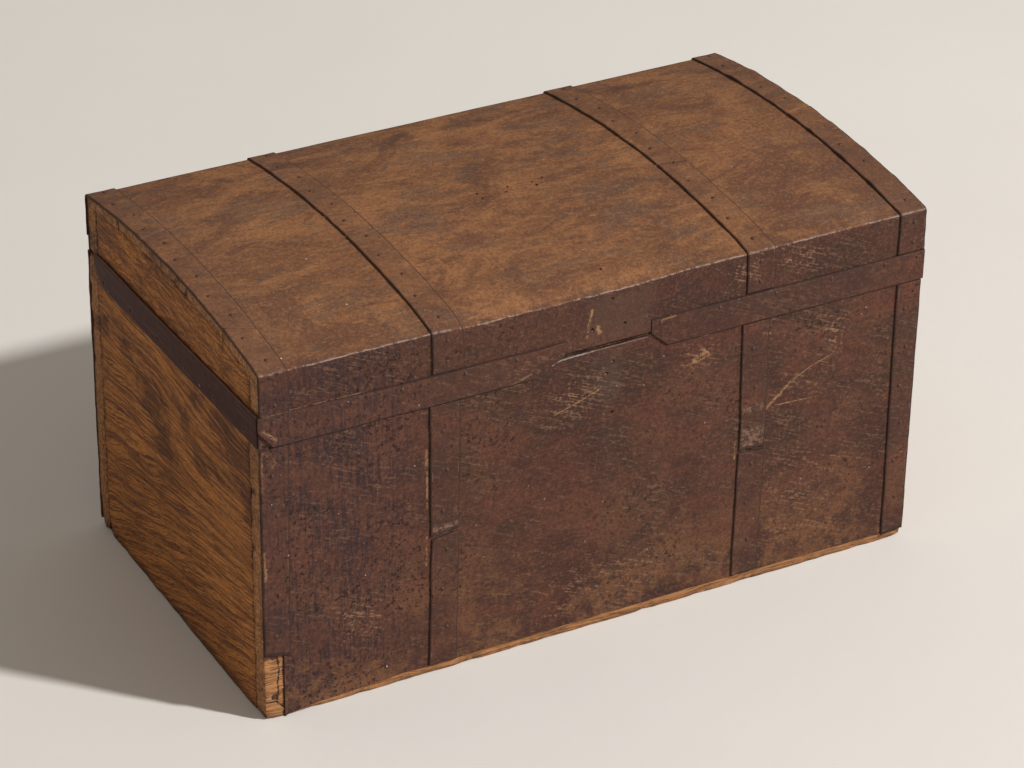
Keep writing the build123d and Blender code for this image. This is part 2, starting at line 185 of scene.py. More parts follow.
# %% [markdown]
# ## Marks with a shape
# Scratches, cracks and stains have a place and a shape, so noise alone can't make them. The distance
# from a straight line is a short formula, and several lines in a row make a drawn stroke. The stroke's
# edge is moved in and out by a fine noise, which keeps it from looking drawn.

# %% Marks drawn on the front
def segment(finish, start, stop):
    """Distance on the front, in metres, from a straight line between two (x, z) places in millimetres."""
    a = Vector((start[0], start[1])) * mm
    along = Vector((stop[0], stop[1])) * mm - a
    dx = finish.x - a.x
    dz = finish.z - a.y
    share = (dx * along.x + dz * along.y) / max(along.length_squared, 1e-9)
    share = finish.node("ShaderNodeClamp", {}, {0: share, 1: 0.0, 2: 1.0})
    off_x = dx - share * along.x
    off_z = dz - share * along.y
    return (off_x * off_x + off_z * off_z) ** 0.5


def stroke(finish, places, width, fray):
    """A drawn line through (x, z) places in millimetres, frayed by a noise."""
    distances = [segment(finish, start, stop) for start, stop in zip(places, places[1:])]
    nearest = reduce(finish.smaller, distances)
    return finish.step(nearest + (fray - 0.5) * (width * 2.6 * mm), width * 0.75 * mm, width * 0.25 * mm)


def field(finish, x_low, x_high, z_low, z_high, soft):
    """1 inside a rectangle on the front (millimetres), fading over `soft` millimetres at its sides."""
    dx = abs(finish.x - (x_low + x_high) / 2 * mm) - (x_high - x_low) / 2 * mm
    dz = abs(finish.z - (z_low + z_high) / 2 * mm) - (z_high - z_low) / 2 * mm
    return finish.step(finish.larger(dx, dz), soft / 2 * mm, -soft / 2 * mm)


# %% [markdown]
# ## Oak and pine
# A plank's figure is the tree's yearly rings, cut by the saw, and it shows as fine lines that run the
# plank's length and slowly change their slope. So the finish has its own height, `cut`, which stays
# the same along one of those lines, and every noise is stretched along it. Oak adds short dark pores,
# and the dashes of a rough-sawn face are the same noise, less stretched.


# %% Timber
front_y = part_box("front_board")[0].y


def timber(name, along, across, slope, light, dark, coarse=1.0, dash=1.0, dirt=0.5, low_darkening=0.65, cracks_and_shade_lines=()):
    """A wood finish. `along` and `across` are axis letters; `slope` is (slope of the grain, its change
    per metre across); `coarse` widens the lines and `dash` lengthens them."""
    finish = Finish(name)
    axes = {"x": finish.x, "y": finish.y, "z": finish.z}
    down, side = axes[along], axes[across]
    inward = axes[next(letter for letter in "xyz" if letter not in (along, across))]
    warp_stretch = [0.16 if letter == along else 0.045 for letter in "xyz"]
    warp = (finish.cloud(1.0, warp_stretch, 3.0, 0.5) - 0.5) * (26 * mm)
    lines_cut = side + down * (slope[0] + side * slope[1]) + warp
    flow = finish.at(down, lines_cut, inward)
    streaks = finish.cloud(1.0, (0.120 * dash, 0.0036 * coarse, 0.009), 5.0, 0.72, 0.0, flow)
    fibre = finish.cloud(1.0, (0.050 * dash, 0.0015 * coarse, 0.004), 3.0, 0.60, 0.0, flow)
    pores = finish.step(finish.cloud(1.0, (0.0085 * dash, 0.00070, 0.002), 2.0, 0.5, 0.0, flow), 0.53, 0.66)
    patch = finish.step(finish.cloud(0.060, (1, 1.6, 1), 5.0, 0.6, 0.7), 0.49, 0.60)
    patch = patch * (0.15 + finish.step(finish.z, 0.09, 0.19) * 0.85)
    band = finish.step(streaks * 0.45 + fibre * 0.55 + patch * 0.035, 0.465, 0.560)
    colour = finish.blend(band, light, dark)
    murky = tuple(0.36 * pale + 0.20 * deep for pale, deep in zip(light, dark))
    colour = finish.blend(patch * dirt, colour, finish.blend(band, murky, (0.070, 0.026, 0.020)))
    colour = finish.blend(pores * 0.55, colour, (0.060, 0.026, 0.013))
    bright = finish.step(fibre, 0.45, 0.39) * (1.0 - patch * 0.4)
    colour = finish.blend(bright * 0.50, colour, tuple(min(1.0, 1.35 * value) for value in light))
    deep_line = finish.step(fibre, 0.565, 0.625)
    colour = finish.blend(deep_line * 0.6 * dirt, colour, tuple(0.40 * value for value in dark))
    colour = finish.blend(finish.step(finish.cloud(0.25, (1, 1, 1), 2.0), 0.35, 0.7) * 0.20, colour, dark)
    # Darker towards the bottom of each board, within about 2 cm of the floor.
    darker_low_down = finish.step(finish.cloud(0.03, (1, 1, 1), 4.0) * 0.016 + finish.z, 0.024, 0.006)
    colour = finish.blend(darker_low_down * low_darkening, colour, (0.050, 0.026, 0.016))
    # Darker along worn edges; inside the holes of the front board and the lid rail it is painted shade.
    worn = finish.mark("worn")
    dark_wear_and_hole_shade = worn * finish.step(finish.cloud(0.006, (1, 1, 1), 3.0), 0.36, 0.60)
    colour = finish.blend(dark_wear_and_hole_shade, colour, (0.040, 0.019, 0.011))
    # Dark drawn lines: real cracks, and painted shade where a joint stands open.
    for places, width in cracks_and_shade_lines:
        line = stroke(finish, places, width, finish.cloud(0.003))
        outside = finish.step(finish.y, front_y + 4.0 * mm, front_y + 3.0 * mm)
        colour = finish.blend(line * outside * 0.9, colour, (0.020, 0.010, 0.007))
    relief = fibre * 0.6 - pores * 0.9 - band * 0.3 + streaks * 0.3
    roughness = 0.66 + fibre * 0.2 - band * 0.08
    return finish.done(colour, roughness, relief, 0.55 * mm, specular=0.20)


# %% Every kind of board
oak_light = (0.43, 0.174, 0.047)
oak_dark = (0.215, 0.079, 0.029)
pine_light = (0.42, 0.198, 0.082)
pine_dark = (0.31, 0.138, 0.055)
oak_left = timber("oak_left_end", "y", "z", (0.36, -1.6), oak_light, oak_dark, dirt=0.75)
oak_right = timber("oak_right_end", "y", "z", (-0.10, 1.1), oak_light, oak_dark)
oak_lid_left = timber("oak_lid_left_end", "y", "z", (0.02, 0.0), oak_light, oak_dark, dash=0.34, dirt=0.25)
oak_lid_right = timber("oak_lid_right_end", "y", "z", (-0.03, 0.0), oak_light, oak_dark, dash=0.34, dirt=0.25)
cracks_and_joint_shade = [
    ([(-306.5, 62), (-304.5, 48), (-306.5, 36), (-305.5, 28), (-307.5, 17), (-301.0, 9)], 1.5),
    ([(-307.5, 17), (-317.0, 18.5)], 1.1),
    ([(-300.6, 62), (-300.8, 0)], 2.2),
    # Painted shade: a black line along the front board's top and the lid rail's foot, where the joint stands open
    # in the lock's notch.
    ([(-39, 281.6), (46, 281.6)], 5.0),
]
front_wood = timber(
    "front_board_wood", "x", "z", (0.03, 0.2), pine_light, pine_dark, 2.2, 2.0, 0.2, 0.12, cracks_and_joint_shade
)
back_wood = timber("back_board_wood", "x", "z", (-0.04, 0.3), pine_light, pine_dark, 1.8, 1.6, 0.7)
floor_wood = timber("bottom_plank_wood", "x", "y", (0.02, 0.2), pine_light, pine_dark, 1.8, 1.6)
stave_wood = timber("lid_stave_wood", "x", "y", (0.03, 0.4), pine_light, pine_dark, 1.8, 1.6, 0.4)

# %% [markdown]
# ## Painted hide
# The sheet and its straps are old painted hide: brown where light and hands have worn the dome, and a
# dark red-brown on the upright front. Both come from one finish that changes colour over the crease,
# so neighbouring pieces match. On top of that come the marks of use: blotches, brushing, dark pits,
# pale specks, scratches down to the tan underneath, and the grey outline where a lock used to be.

# %% Where the lid's sheet bends
lid_low, lid_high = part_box("lid_cover")
dome_rise = 15 * mm
crease_z = lid_high.z - dome_rise
half_chord = (lid_high.y - lid_low.y) / 2
dome_mid_y = (lid_high.y + lid_low.y) / 2
dome_radius = (half_chord**2 + dome_rise**2) / (2 * dome_rise)
dome_centre_z = lid_high.z - dome_radius
print("crease height", round(crease_z, 4), "dome radius", round(dome_radius, 4))


# %% The marks
tan_scratches = [
    ([(-46, 226), (-28, 231), (-4, 239)], 1.4),
    ([(-9, 248), (-4, 252)], 1.6),
    ([(82, 240), (104.6, 244.8), (97.3, 252.6)], 2.6),
    ([(88, 242), (99, 248)], 4.5),
    ([(96, 265.7), (103, 266.2)], 1.9),
    ([(165.6, 175.8), (172, 181.4), (180, 188)], 2.8),
    ([(180, 188), (190, 196.5), (198, 200.6)], 1.9),
    ([(198, 200.6), (208, 205.8), (232, 213.4)], 1.1),
    ([(175, 176), (218, 173.8)], 1.1),
    ([(-12, 318), (-15, 306), (-17, 292)], 2.4),
    ([(-6, 300), (-5, 296)], 4.2),
    ([(-93, 266), (-70, 273)], 1.6),
    ([(150, 326), (146, 318)], 2.8),
    ([(158, 253), (166, 250)], 1.9),
    ([(52, 292), (68, 294)], 2.2),
    ([(-315, 284), (-309, 279), (-304, 274)], 3.0),
    ([(-317, 263), (-309, 260), (-305, 253), (-307, 249)], 3.6),
    ([(-317.3, 263), (-317.3, 228)], 2.8),
    ([(-312, 297.2), (-285, 297.0), (-262, 296.8), (-240, 296.4), (-223, 296.0)], 1.3),
    ([(-317, 167), (-316, 142)], 3.6),
    ([(-167.0, 224), (-167.0, 206)], 3.0),
    ([(-166.4, 206), (-166.2, 168)], 1.5),
    ([(-166.4, 140), (-166.8, 112)], 1.7),
    ([(134.8, 150), (135.0, 132)], 1.5),
]
scuffs = [
    ((-48, 0, 222, 254), 1.0),
    ((80, 106, 238, 256), 1.0),
    ((222, 240, 222, 246), 1.2),
    ((176, 236, 176, 212), 0.6),
    ((118, 152, 300, 330), 0.9),
    ((172, 208, 308, 328), 1.1),
    ((-90, -60, 268, 280), 0.8),
    ((-250, -205, 60, 90), 0.9),
    ((-60, 60, 15, 70), 0.5),
    ((168, 250, 30, 120), 0.5),
]
pale_patches = [
    ((-162, -137, 140, 148), 1.2),
    ((140, 162, 141, 160), 1.0),
    ((141, 160, 177, 183), 0.8),
]


# %% Noises that the whole hide shares
def hide_noises(finish):
    """From fine grain to broad blotches, and the strokes of a brush, level and slanting."""
    finish.fine = finish.cloud(0.0035, (1, 1, 1), 5.0, 0.65)
    finish.mottle = finish.cloud(0.012, (1, 1, 1), 5.0, 0.6)
    finish.blotch = finish.cloud(0.085, (1, 1, 1), 4.0, 0.55, 0.6)
    finish.stain = finish.cloud(0.060, (1.7, 1.2, 1.0), 6.0, 0.62, 1.1)
    finish.level = finish.cloud(1.0, (0.024, 0.02, 0.0012), 4.0, 0.65)
    finish.leftmost = finish.step(finish.x, -0.150, -0.215)
    slanting = finish.node(
        "ShaderNodeMapping", {}, {"Vector": finish.place, "Rotation": (0.0, math.radians(-24), 0.0)}
    )
    finish.brushed = finish.cloud(1.0, (0.020, 0.05, 0.0014), 4.0, 0.65, 0.0, slanting)


# %% The colours of the upright front
def paint_front(finish):
    """Dark red-brown, blotched and stained, damp and pitted at its left, rubbed pale low down."""
    fine, mottle, blotch, stain = finish.fine, finish.mottle, finish.blotch, finish.stain
    level, brushed, leftmost = finish.level, finish.brushed, finish.leftmost
    upright = finish.cloud(1.0, (0.0026, 0.02, 0.040), 5.0, 0.65)
    front = finish.blend(finish.step(blotch, 0.36, 0.64), (0.056, 0.025, 0.019), (0.100, 0.044, 0.027))
    front = finish.blend(finish.step(stain, 0.48, 0.40) * 0.65, front, (0.104, 0.038, 0.024))
    front = finish.blend(finish.step(stain, 0.51, 0.60) * 0.62, front, (0.040, 0.024, 0.0175))
    front = finish.blend(finish.step(mottle, 0.46, 0.62) * 0.42, front, (0.046, 0.022, 0.018))
    front = finish.blend(finish.step(level, 0.50, 0.64) * 0.34, front, (0.138, 0.070, 0.044))
    front = finish.blend(leftmost * 0.45, front, (0.104, 0.044, 0.032))
    damp = finish.step(upright * 0.55 + stain * 0.30 + mottle * 0.15, 0.47, 0.56) * leftmost
    front = finish.blend(damp * 0.80, front, (0.032, 0.020, 0.023))
    low_wear = finish.step(finish.z, 0.150, 0.020) * finish.step(mottle * 0.5 + blotch * 0.5, 0.46, 0.58)
    front = finish.blend(low_wear * 0.62, front, (0.185, 0.084, 0.040))
    upper = finish.step(finish.z, 0.290, 0.305)
    front = finish.blend(upper * 0.35, front, (0.050, 0.025, 0.020))
    scuffed = sum(field(finish, *place, 30.0) * strength for place, strength in scuffs)
    brushing = finish.step(brushed * 0.6 + stain * 0.25 + fine * 0.25 + scuffed * 0.05, 0.585, 0.68)
    front = finish.blend(brushing * 0.50, front, (0.200, 0.108, 0.066))
    flakes = finish.step(brushed * 0.5 + fine * 0.5 + scuffed * 0.05, 0.57, 0.625) * scuffed
    front = finish.blend(flakes * 0.60, front, (0.330, 0.180, 0.100))
    pale_zone = sum(field(finish, *place, 5.0) * strength for place, strength in pale_patches)
    pale_marks = pale_zone * finish.step(level * 0.5 + fine * 0.5, 0.46, 0.55)
    return finish.blend(pale_marks * 0.80, front, (0.290, 0.178, 0.128))


# %% The colours of the dome
def paint_dome(finish):
    """Brown and rubbed, with dark smudges, greyer patches, a dark band near the back, and dirt at the ends."""
    blotch, stain, y = finish.blotch, finish.stain, finish.y
    top = finish.blend(finish.step(blotch, 0.34, 0.66), (0.165, 0.074, 0.038), (0.262, 0.118, 0.052))
    smudge = finish.cloud(0.045, (1.9, 1.2, 1.0), 7.0, 0.66, 1.4)
    top = finish.blend(finish.step(smudge, 0.47, 0.40) * 0.45, top, (0.320, 0.150, 0.064))
    top = finish.blend(finish.step(smudge, 0.52, 0.58) * 0.60, top, (0.100, 0.046, 0.032))
    greyed = finish.step(finish.cloud(0.030, (2.2, 1.0, 1.0), 7.0, 0.7, 0.8), 0.53, 0.59)
    top = finish.blend(greyed * 0.55, top, (0.118, 0.074, 0.054))
    rubbed = finish.rubbed = finish.cloud(0.0045, (3.2, 1.0, 1.0), 5.0, 0.68, 0.6)
    top = finish.blend(finish.step(rubbed, 0.50, 0.64) * 0.40, top, (0.120, 0.055, 0.034))
    top = finish.blend(finish.step(rubbed, 0.44, 0.34) * 0.40, top, (0.340, 0.170, 0.080))
    shaded = finish.step(finish.x, 0.130, 0.230) * finish.step(y, 0.02, -0.10) * finish.step(stain, 0.40, 0.56)
    top = finish.blend(shaded * 0.50, top, (0.098, 0.044, 0.032))
    # A dark band across the dome, about 34 mm in front of its back edge.
    rear = finish.step(abs(y - lid_high.y + 0.034 + (blotch - 0.5) * 0.05), 0.014, 0.002)
    top = finish.blend(rear * finish.step(smudge, 0.40, 0.56) * 0.60, top, (0.070, 0.036, 0.028))
    side_dirt = finish.step(abs(finish.x), lid_high.x - 0.10, lid_high.x - 0.02) * finish.step(blotch, 0.40, 0.56)
    return finish.blend(side_dirt * 0.40, top, (0.120, 0.062, 0.042))


# %% Over the crease
def paint_over_crease(finish, front, top):
    """Joins the two colours, with a dark hem behind the crease and a pale line on it, partly rubbed wear and
    partly a painted highlight.
    """
    fine, mottle, stain = finish.fine, finish.mottle, finish.stain
    fold = finish.mark("fold") + (mottle - 0.5) * (2.4 * mm)
    over = finish.step(fold, -1.2 * mm, 0.4 * mm)
    colour = finish.blend(over, front, top)
    hem = finish.step(abs(fold - 2.5 * mm), 4.5 * mm, 0.5 * mm) * finish.step(mottle, 0.42, 0.58)
    colour = finish.blend(hem * 0.45, colour, (0.062, 0.036, 0.030))
    # The pale line along the crease is partly rubbed wear and partly a painted highlight of the glossy bend.
    lit = finish.step(stain * 0.5 + fine * 0.5, 0.44, 0.52)
    crease_wear_and_highlight = finish.step(abs(fold), 0.95 * mm, 0.15 * mm) * lit
    return finish.blend(crease_wear_and_highlight * 0.70, colour, (0.330, 0.270, 0.245)), over, crease_wear_and_highlight


# %% Grit, pits and specks
def paint_grit(finish, colour, over):
    fine, blotch, leftmost = finish.fine, finish.blotch, finish.leftmost
    grit = finish.grit = (finish.cloud(0.0016, (1, 1, 1), 4.0, 0.7) + fine) * 0.5
    dark_grit = finish.blend(over, (0.036, 0.019, 0.018), (0.085, 0.044, 0.030))
    pale_grit = finish.blend(over, (0.180, 0.082, 0.050), (0.340, 0.170, 0.082))
    colour = finish.blend(finish.step(grit, 0.50, 0.42) * 0.50, colour, dark_grit)
    colour = finish.blend(finish.step(grit, 0.52, 0.60) * 0.38, colour, pale_grit)
    pit_zone = finish.step(blotch + finish.step(finish.x, -0.13, -0.21) * 0.16, 0.50, 0.66)
    pits = finish.step(finish.cloud(0.0042, (1, 1, 1), 3.0, 0.6), 0.585, 0.64) * pit_zone * (1.0 - over * 0.88)
    colour = finish.blend(pits * 0.8, colour, (0.028, 0.015, 0.014))
    cells = {"Scale": 85.0, "Randomness": 1.0}
    dots = finish.node("ShaderNodeTexVoronoi", {}, {"Vector": finish.place, **cells}, output="Distance")
    rare = finish.step(finish.cloud(0.022, (1, 1, 1), 2.0), 0.57, 0.60) * (0.35 + leftmost * 0.65)
    specks = finish.step(dots, 0.085, 0.055) * rare
    return finish.blend(specks * 0.85, colour, (0.60, 0.50, 0.42)), pits, specks


# %% The lock's ghost, glue marks, scratches, and painted light at the joint
def paint_lock_marks(finish, colour):
    """Marks that belong to one place on the front: they fade out on anything behind it. At the joint in the lock's
    notch they are a painted highlight and a painted black shade.
    """
    fine, mottle, stain, grit = finish.fine, finish.mottle, finish.stain, finish.grit
    on_front = finish.step(finish.y, front_y + 1.0 * mm, front_y - 0.2 * mm)
    ghost = field(finish, -17, 46, 284, 328, 16.0) * on_front * finish.step(stain, 0.62, 0.40)
    colour = finish.blend(ghost * 0.35, colour, (0.090, 0.056, 0.040))
    run = field(finish, -3, 15, 232, 272, 22.0) + field(finish, 0, 10, 130, 240, 16.0) * 0.35
    colour = finish.blend(run * on_front * 0.35, colour, (0.078, 0.054, 0.045))
    # Painted highlight: a pale line on the front sheet's top edge in the lock's notch, where that edge catches the
    # light.
    pale = stroke(finish, [(-50, 275.6), (-40, 277.4), (-10, 278.2)], 1.1, fine)
    pale = finish.larger(pale, stroke(finish, [(-10, 278.2), (42, 278.4)], 0.6, fine) * 0.6) * on_front
    colour = finish.blend(pale * 0.65, colour, (0.400, 0.340, 0.320))
    # Painted shade: a black line in the open joint above the front sheet, in the lock's notch.
    joint_gap_shade = stroke(finish, [(-38, 280.2), (44, 280.4)], 2.0, mottle) * on_front
    colour = finish.blend(joint_gap_shade * 0.9, colour, (0.014, 0.010, 0.010))
    scored = reduce(finish.larger, [stroke(finish, places, width, fine) for places, width in tan_scratches])
    scored = scored * on_front * finish.step(grit + mottle, 0.88, 1.02)
    return finish.blend(scored * 0.80, colour, (0.330, 0.180, 0.095)), scored


# %% The whole hide
def hide(name, worn_edges):
    """The painted hide. `worn_edges` says that the piece carries marks for its edges and tacks."""
    finish = Finish(name)
    hide_noises(finish)
    fine, mottle, stain = finish.fine, finish.mottle, finish.stain
    colour, over, crease_wear_and_highlight = paint_over_crease(finish, paint_front(finish), paint_dome(finish))
    colour, pits, specks = paint_grit(finish, colour, over)
    colour, scored = paint_lock_marks(finish, colour)
    relief = fine * 0.4 + mottle * 0.5 + finish.rubbed * over * 0.3 + stain * 0.8
    relief = relief - pits * 0.5 - scored * 0.4 + specks * 0.4
    if worn_edges:
        rim = finish.mark("rim")
        rust = finish.mark("rust")
        tint = finish.blend(over, (0.072, 0.034, 0.027), (0.118, 0.060, 0.040))
        colour = finish.blend(finish.step(stain * 0.5 + mottle * 0.5, 0.40, 0.54) * 0.36, colour, tint)
        # A dark line along each strap's edges: partly dirt, partly painted shade where the edge meets the sheet.
        edge_dirt_and_shade = finish.step(rim * (0.6 + fine * 0.8), 0.30, 0.60)
        colour = finish.blend(edge_dirt_and_shade * 0.72, colour, (0.034, 0.022, 0.019))
        torn = finish.step(rim, 0.02, 0.20) * finish.step(rim, 0.45, 0.30) * finish.step(mottle, 0.54, 0.62)
        torn_tan = finish.blend(over, (0.230, 0.130, 0.080), (0.330, 0.170, 0.085))
        colour = finish.blend(torn * 0.45, colour, torn_tan)
        colour = finish.blend(finish.step(rust + mottle * 0.4, 0.55, 1.1) * 0.55, colour, (0.090, 0.036, 0.024))
    roughness = 0.62 + mottle * 0.22 + scored * 0.2 + pits * 0.2 - crease_wear_and_highlight * 0.1
    return finish.done(colour, roughness, relief, 0.8 * mm, specular=0.13)


cover_hide = hide("painted_hide_sheet", False)
strap_hide = hide("painted_hide_strap", True)


# %% [markdown]
# ## The dark lips and the iron
# The lips on the ends are smooth and nearly black, with a few pale specks and a worn upper edge. The
# tacks, nails, screws and hinges are wrought iron gone brown: mostly dark, with rust coming through.
# Rust is rough and not metallic, so one mask drives colour, roughness and metallic together.

# %% Lip and iron finishes
def lip_finish():
    finish = Finish("black_lip")
    mottle = finish.cloud(0.010, (1, 1, 1), 5.0, 0.6)
    wipes = finish.cloud(1.0, (0.02, 0.06, 0.003), 4.0, 0.6)
    colour = finish.blend(finish.step(mottle, 0.35, 0.7), (0.038, 0.0125, 0.0095), (0.074, 0.0235, 0.0148))
    colour = finish.blend(finish.step(wipes, 0.52, 0.72) * 0.6, colour, (0.115, 0.066, 0.050))
    dots = finish.node(
        "ShaderNodeTexVoronoi", {}, {"Vector": finish.place, "Scale": 70.0}, output="Distance"
    )
    specks = finish.step(dots, 0.07, 0.04) * finish.step(mottle, 0.52, 0.56)
    colour = finish.blend(specks * 0.8, colour, (0.50, 0.42, 0.36))
    worn_rim = finish.step(finish.mark("rim") * (0.5 + mottle), 0.5, 0.9)
    colour = finish.blend(worn_rim * 0.55, colour, (0.20, 0.13, 0.10))
    colour = finish.blend(finish.mark("rust") * 0.6, colour, (0.10, 0.04, 0.025))
    return finish.done(colour, 0.46 + mottle * 0.25, mottle * 0.6 + wipes * 0.3, 0.4 * mm, specular=0.14)


def iron_finish(name, size, rusty, metal, deep, pale):
    finish = Finish(name)
    mottle = finish.cloud(size, (1, 1, 1), 6.0, 0.65)
    rust = finish.step(mottle, 0.62 - rusty, 0.80 - rusty)
    colour = finish.blend(finish.cloud(size * 0.4), deep, pale)
    colour = finish.blend(rust * 0.8, colour, (0.150, 0.058, 0.028))
    metallic = metal - rust * metal * 0.85
    return finish.done(colour, 0.50 + rust * 0.35, mottle, 0.35 * mm, specular=0.3, metallic=metallic)


lip_black = lip_finish()
tack_iron = iron_finish("tack_iron", 3.0 * mm, 0.12, 0.30, (0.038, 0.022, 0.018), (0.100, 0.056, 0.040))
hinge_iron = iron_finish("hinge_iron", 7.0 * mm, 0.14, 0.70, (0.032, 0.023, 0.020), (0.090, 0.060, 0.048))

# %% [markdown]
# ## Weathered boards
# The boards are in the right place in the CAD model, with every nail hole, but their edges are sharp
# and their faces dead flat. A copy of each one is joined into one skin, its long edges are rounded,
# and it is cut into a grid. Then a noise moves the skin inward by parts of a millimetre, and by more
# along the edges, where a real board is bruised. The copy stays inside the board that it stands for.


# %% Finishing a mesh
merge_gap = 1e-6
sharp_angle = math.radians(34)


def show(name, bm, body, material, stands_for):
    """Turns a bmesh into a piece of the chest and joins it to the frame. A pattern laid on the back or the
    left end is mirrored, which turns it inside out, so a shape with a negative volume is turned round."""
    if bm.calc_volume(signed=True) < 0:
        bmesh.ops.reverse_faces(bm, faces=bm.faces[:])
    mesh = bpy.data.meshes.new(name)
    bm.to_mesh(mesh)
    bm.free()
    mesh.polygons.foreach_set("use_smooth", [True] * len(mesh.polygons))
    mesh.set_sharp_from_angle(angle=sharp_angle)
    piece = bpy.data.objects.new(name, mesh)
    bpy.context.scene.collection.objects.link(piece)
    mesh.materials.append(material)
    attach(piece, body)
    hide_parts(*stands_for)
    return piece


def divide(bm, axis, low, high, cell):
    """Cuts the whole mesh across one axis into slices of about one cell."""
    count = max(1, round((high - low) / cell))
    normal = Vector([1.0 if axis == place else 0.0 for place in range(3)])
    for cut in range(1, count):
        middle = low + (high - low) * cut / count
        everything = bm.verts[:] + bm.edges[:] + bm.faces[:]
        bmesh.ops.bisect_plane(bm, geom=everything, plane_co=normal * middle, plane_no=normal, dist=merge_gap)


# %% How the lid's front crease has settled
def sag(x):
    """How far the front crease is pressed down at x: most in its middle, where lock and hasp pulled."""
    rise_left = min(max((x + 165 * mm) / (40 * mm), 0.0), 1.0)
    fall_right = min(max((105 * mm - x) / (85 * mm), 0.0), 1.0)
    pressed = 3.3 * rise_left**2 * (3 - 2 * rise_left) * fall_right**2 * (3 - 2 * fall_right)
    ripple = 0.75 * noise.noise(Vector((x / 0.031, 3.0, 0.0)))
    ripple += 0.4 * noise.noise(Vector((x / 0.012, 8.0, 0.0)))
    return (pressed + ripple + 0.5) * mm


def settle(point):
    """Moves a point near the lid's front crease down and back with it."""
    near = math.exp(-((math.hypot(point.y - lid_low.y, point.z - crease_z) / (12 * mm)) ** 2))
    return point + Vector((0, 0.35, -1)) * near * sag(point.x)


# %% The weathered copy
pierced_boards = ("front_board", "lid_front_rail")
edge_reach = 7 * mm      # bruises along an edge fade out this far from it
corner_reach = 11 * mm   # and the rounding of a corner, this far
dark_rim = 3.6 * mm      # dirt darkens an edge this far in
planed_off = 0.25 * mm   # the most that the broad faces lose


def weathered(node, body, material, rounding, bruise, cell, seed):
    """A worn copy of a CAD board. Its long edges, where two faces of the board's box meet, are rounded."""
    bm = bmesh.new()
    bm.from_mesh(nodes[node].data)
    bmesh.ops.remove_doubles(bm, verts=bm.verts[:], dist=merge_gap)
    low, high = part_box(node)

    def sides(point):
        return sum(
            abs(point[axis] - low[axis]) < 2e-5 or abs(point[axis] - high[axis]) < 2e-5 for axis in range(3)
        )

    edges = [
        e
        for e in bm.edges
        if e.is_manifold and e.calc_face_angle() > 1.0 and all(sides(v.co) >= 2 for v in e.verts)
    ]
    bmesh.ops.bevel(
        bm, geom=edges, offset=rounding, segments=3, profile=0.5, affect="EDGES", material=-1, clamp_overlap=True
    )
    for axis in range(3):
        if high[axis] - low[axis] > 2 * cell:
            divide(bm, axis, low[axis], high[axis], cell)
    bmesh.ops.dissolve_degenerate(bm, dist=5e-6, edges=bm.edges[:])
    bmesh.ops.triangulate(bm, faces=[f for f in bm.faces if len(f.verts) > 4])
    bm.normal_update()
    worn = bm.verts.layers.float.new("worn")
    shift = Vector((seed * 3.1, seed * 1.7, seed * 0.9))
    moves = []
    for v in bm.verts:
        gaps = sorted(min(v.co[axis] - low[axis], high[axis] - v.co[axis]) for axis in range(3))
        near_edge = max(0.0, 1.0 - gaps[1] / edge_reach)
        broad = 0.5 + 0.5 * noise.noise(v.co / 0.06 + shift)
        sharp = max(0.0, noise.noise(v.co / 0.013 + shift * 2) - 0.1)
        small = max(0.0, noise.noise(v.co / 0.005 + shift))
        near_corner = max(0.0, 1.0 - gaps[2] / corner_reach) if body == "body" else 0.0
        amount = broad * planed_off + near_edge * (sharp * bruise + small * bruise * 0.4)
        amount += near_corner**2 * bruise * 0.8
        moves.append((v, -v.normal * amount))
        v[worn] = min(1.0, max(0.0, 1.0 - gaps[1] / dark_rim) * (0.5 + 1.4 * sharp + small))
        # Inside the holes of these boards the mark is set to full, which paints shade into the holes.
        if node in pierced_boards and gaps[0] > 0.6 * mm:
            v[worn] = 1.0
    for v, move in moves:
        v.co += move
        if body == "lid":
            v.co = settle(v.co)
    return show(f"{node}_worn", bm, body, material, [node])


# %% Every board
boards = [
    ("left_end_board", "body", oak_left, "oak", 1.3, 1.8),
    ("right_end_board", "body", oak_right, "oak", 1.3, 1.8),
    ("front_board", "body", front_wood, "plain_board", 1.2, 2.6),
    ("back_board", "body", back_wood, "plain_board", 1.4, 3.0),
    ("bottom_plank_front", "body", floor_wood, "plain_board", 0.9, 1.2),
    ("bottom_plank_middle", "body", floor_wood, "plain_board", 0.9, 1.2),
    ("bottom_plank_rear", "body", floor_wood, "plain_board", 0.9, 1.2),
    ("lid_left_end", "lid", oak_lid_left, "oak", 0.9, 1.0),
    ("lid_right_end", "lid", oak_lid_right, "oak", 0.9, 1.0),
    ("lid_front_rail", "lid", front_wood, "plain_board", 0.9, 1.0),
    ("lid_back_rail", "lid", back_wood, "plain_board", 0.9, 1.0),
] + [(f"lid_stave_{number}", "lid", stave_wood, "plain_board", 0.6, 0.8) for number in range(1, 6)]
for seed, (node, body, material, slot, rounding, bruise) in enumerate(boards):
    piece = weathered(node, body, material, rounding * mm, bruise * mm, 9 * mm, seed)
    print(piece.name, len(piece.data.polygons), "faces")

# %% [markdown]
# ## Cutting hide as a flat pattern
# The maker cut each sheet and strap flat, then bent it over the lid and tacked it down. The pieces are
# made the same way: a flat grid gets its thickness and rounded edges, and then every point is laid on
# the surface it belongs to. `lay` functions do that for the front, the back, the ends and the lid.
# One shared function says how uneven the surface is, so a strap follows the sheet beneath it.


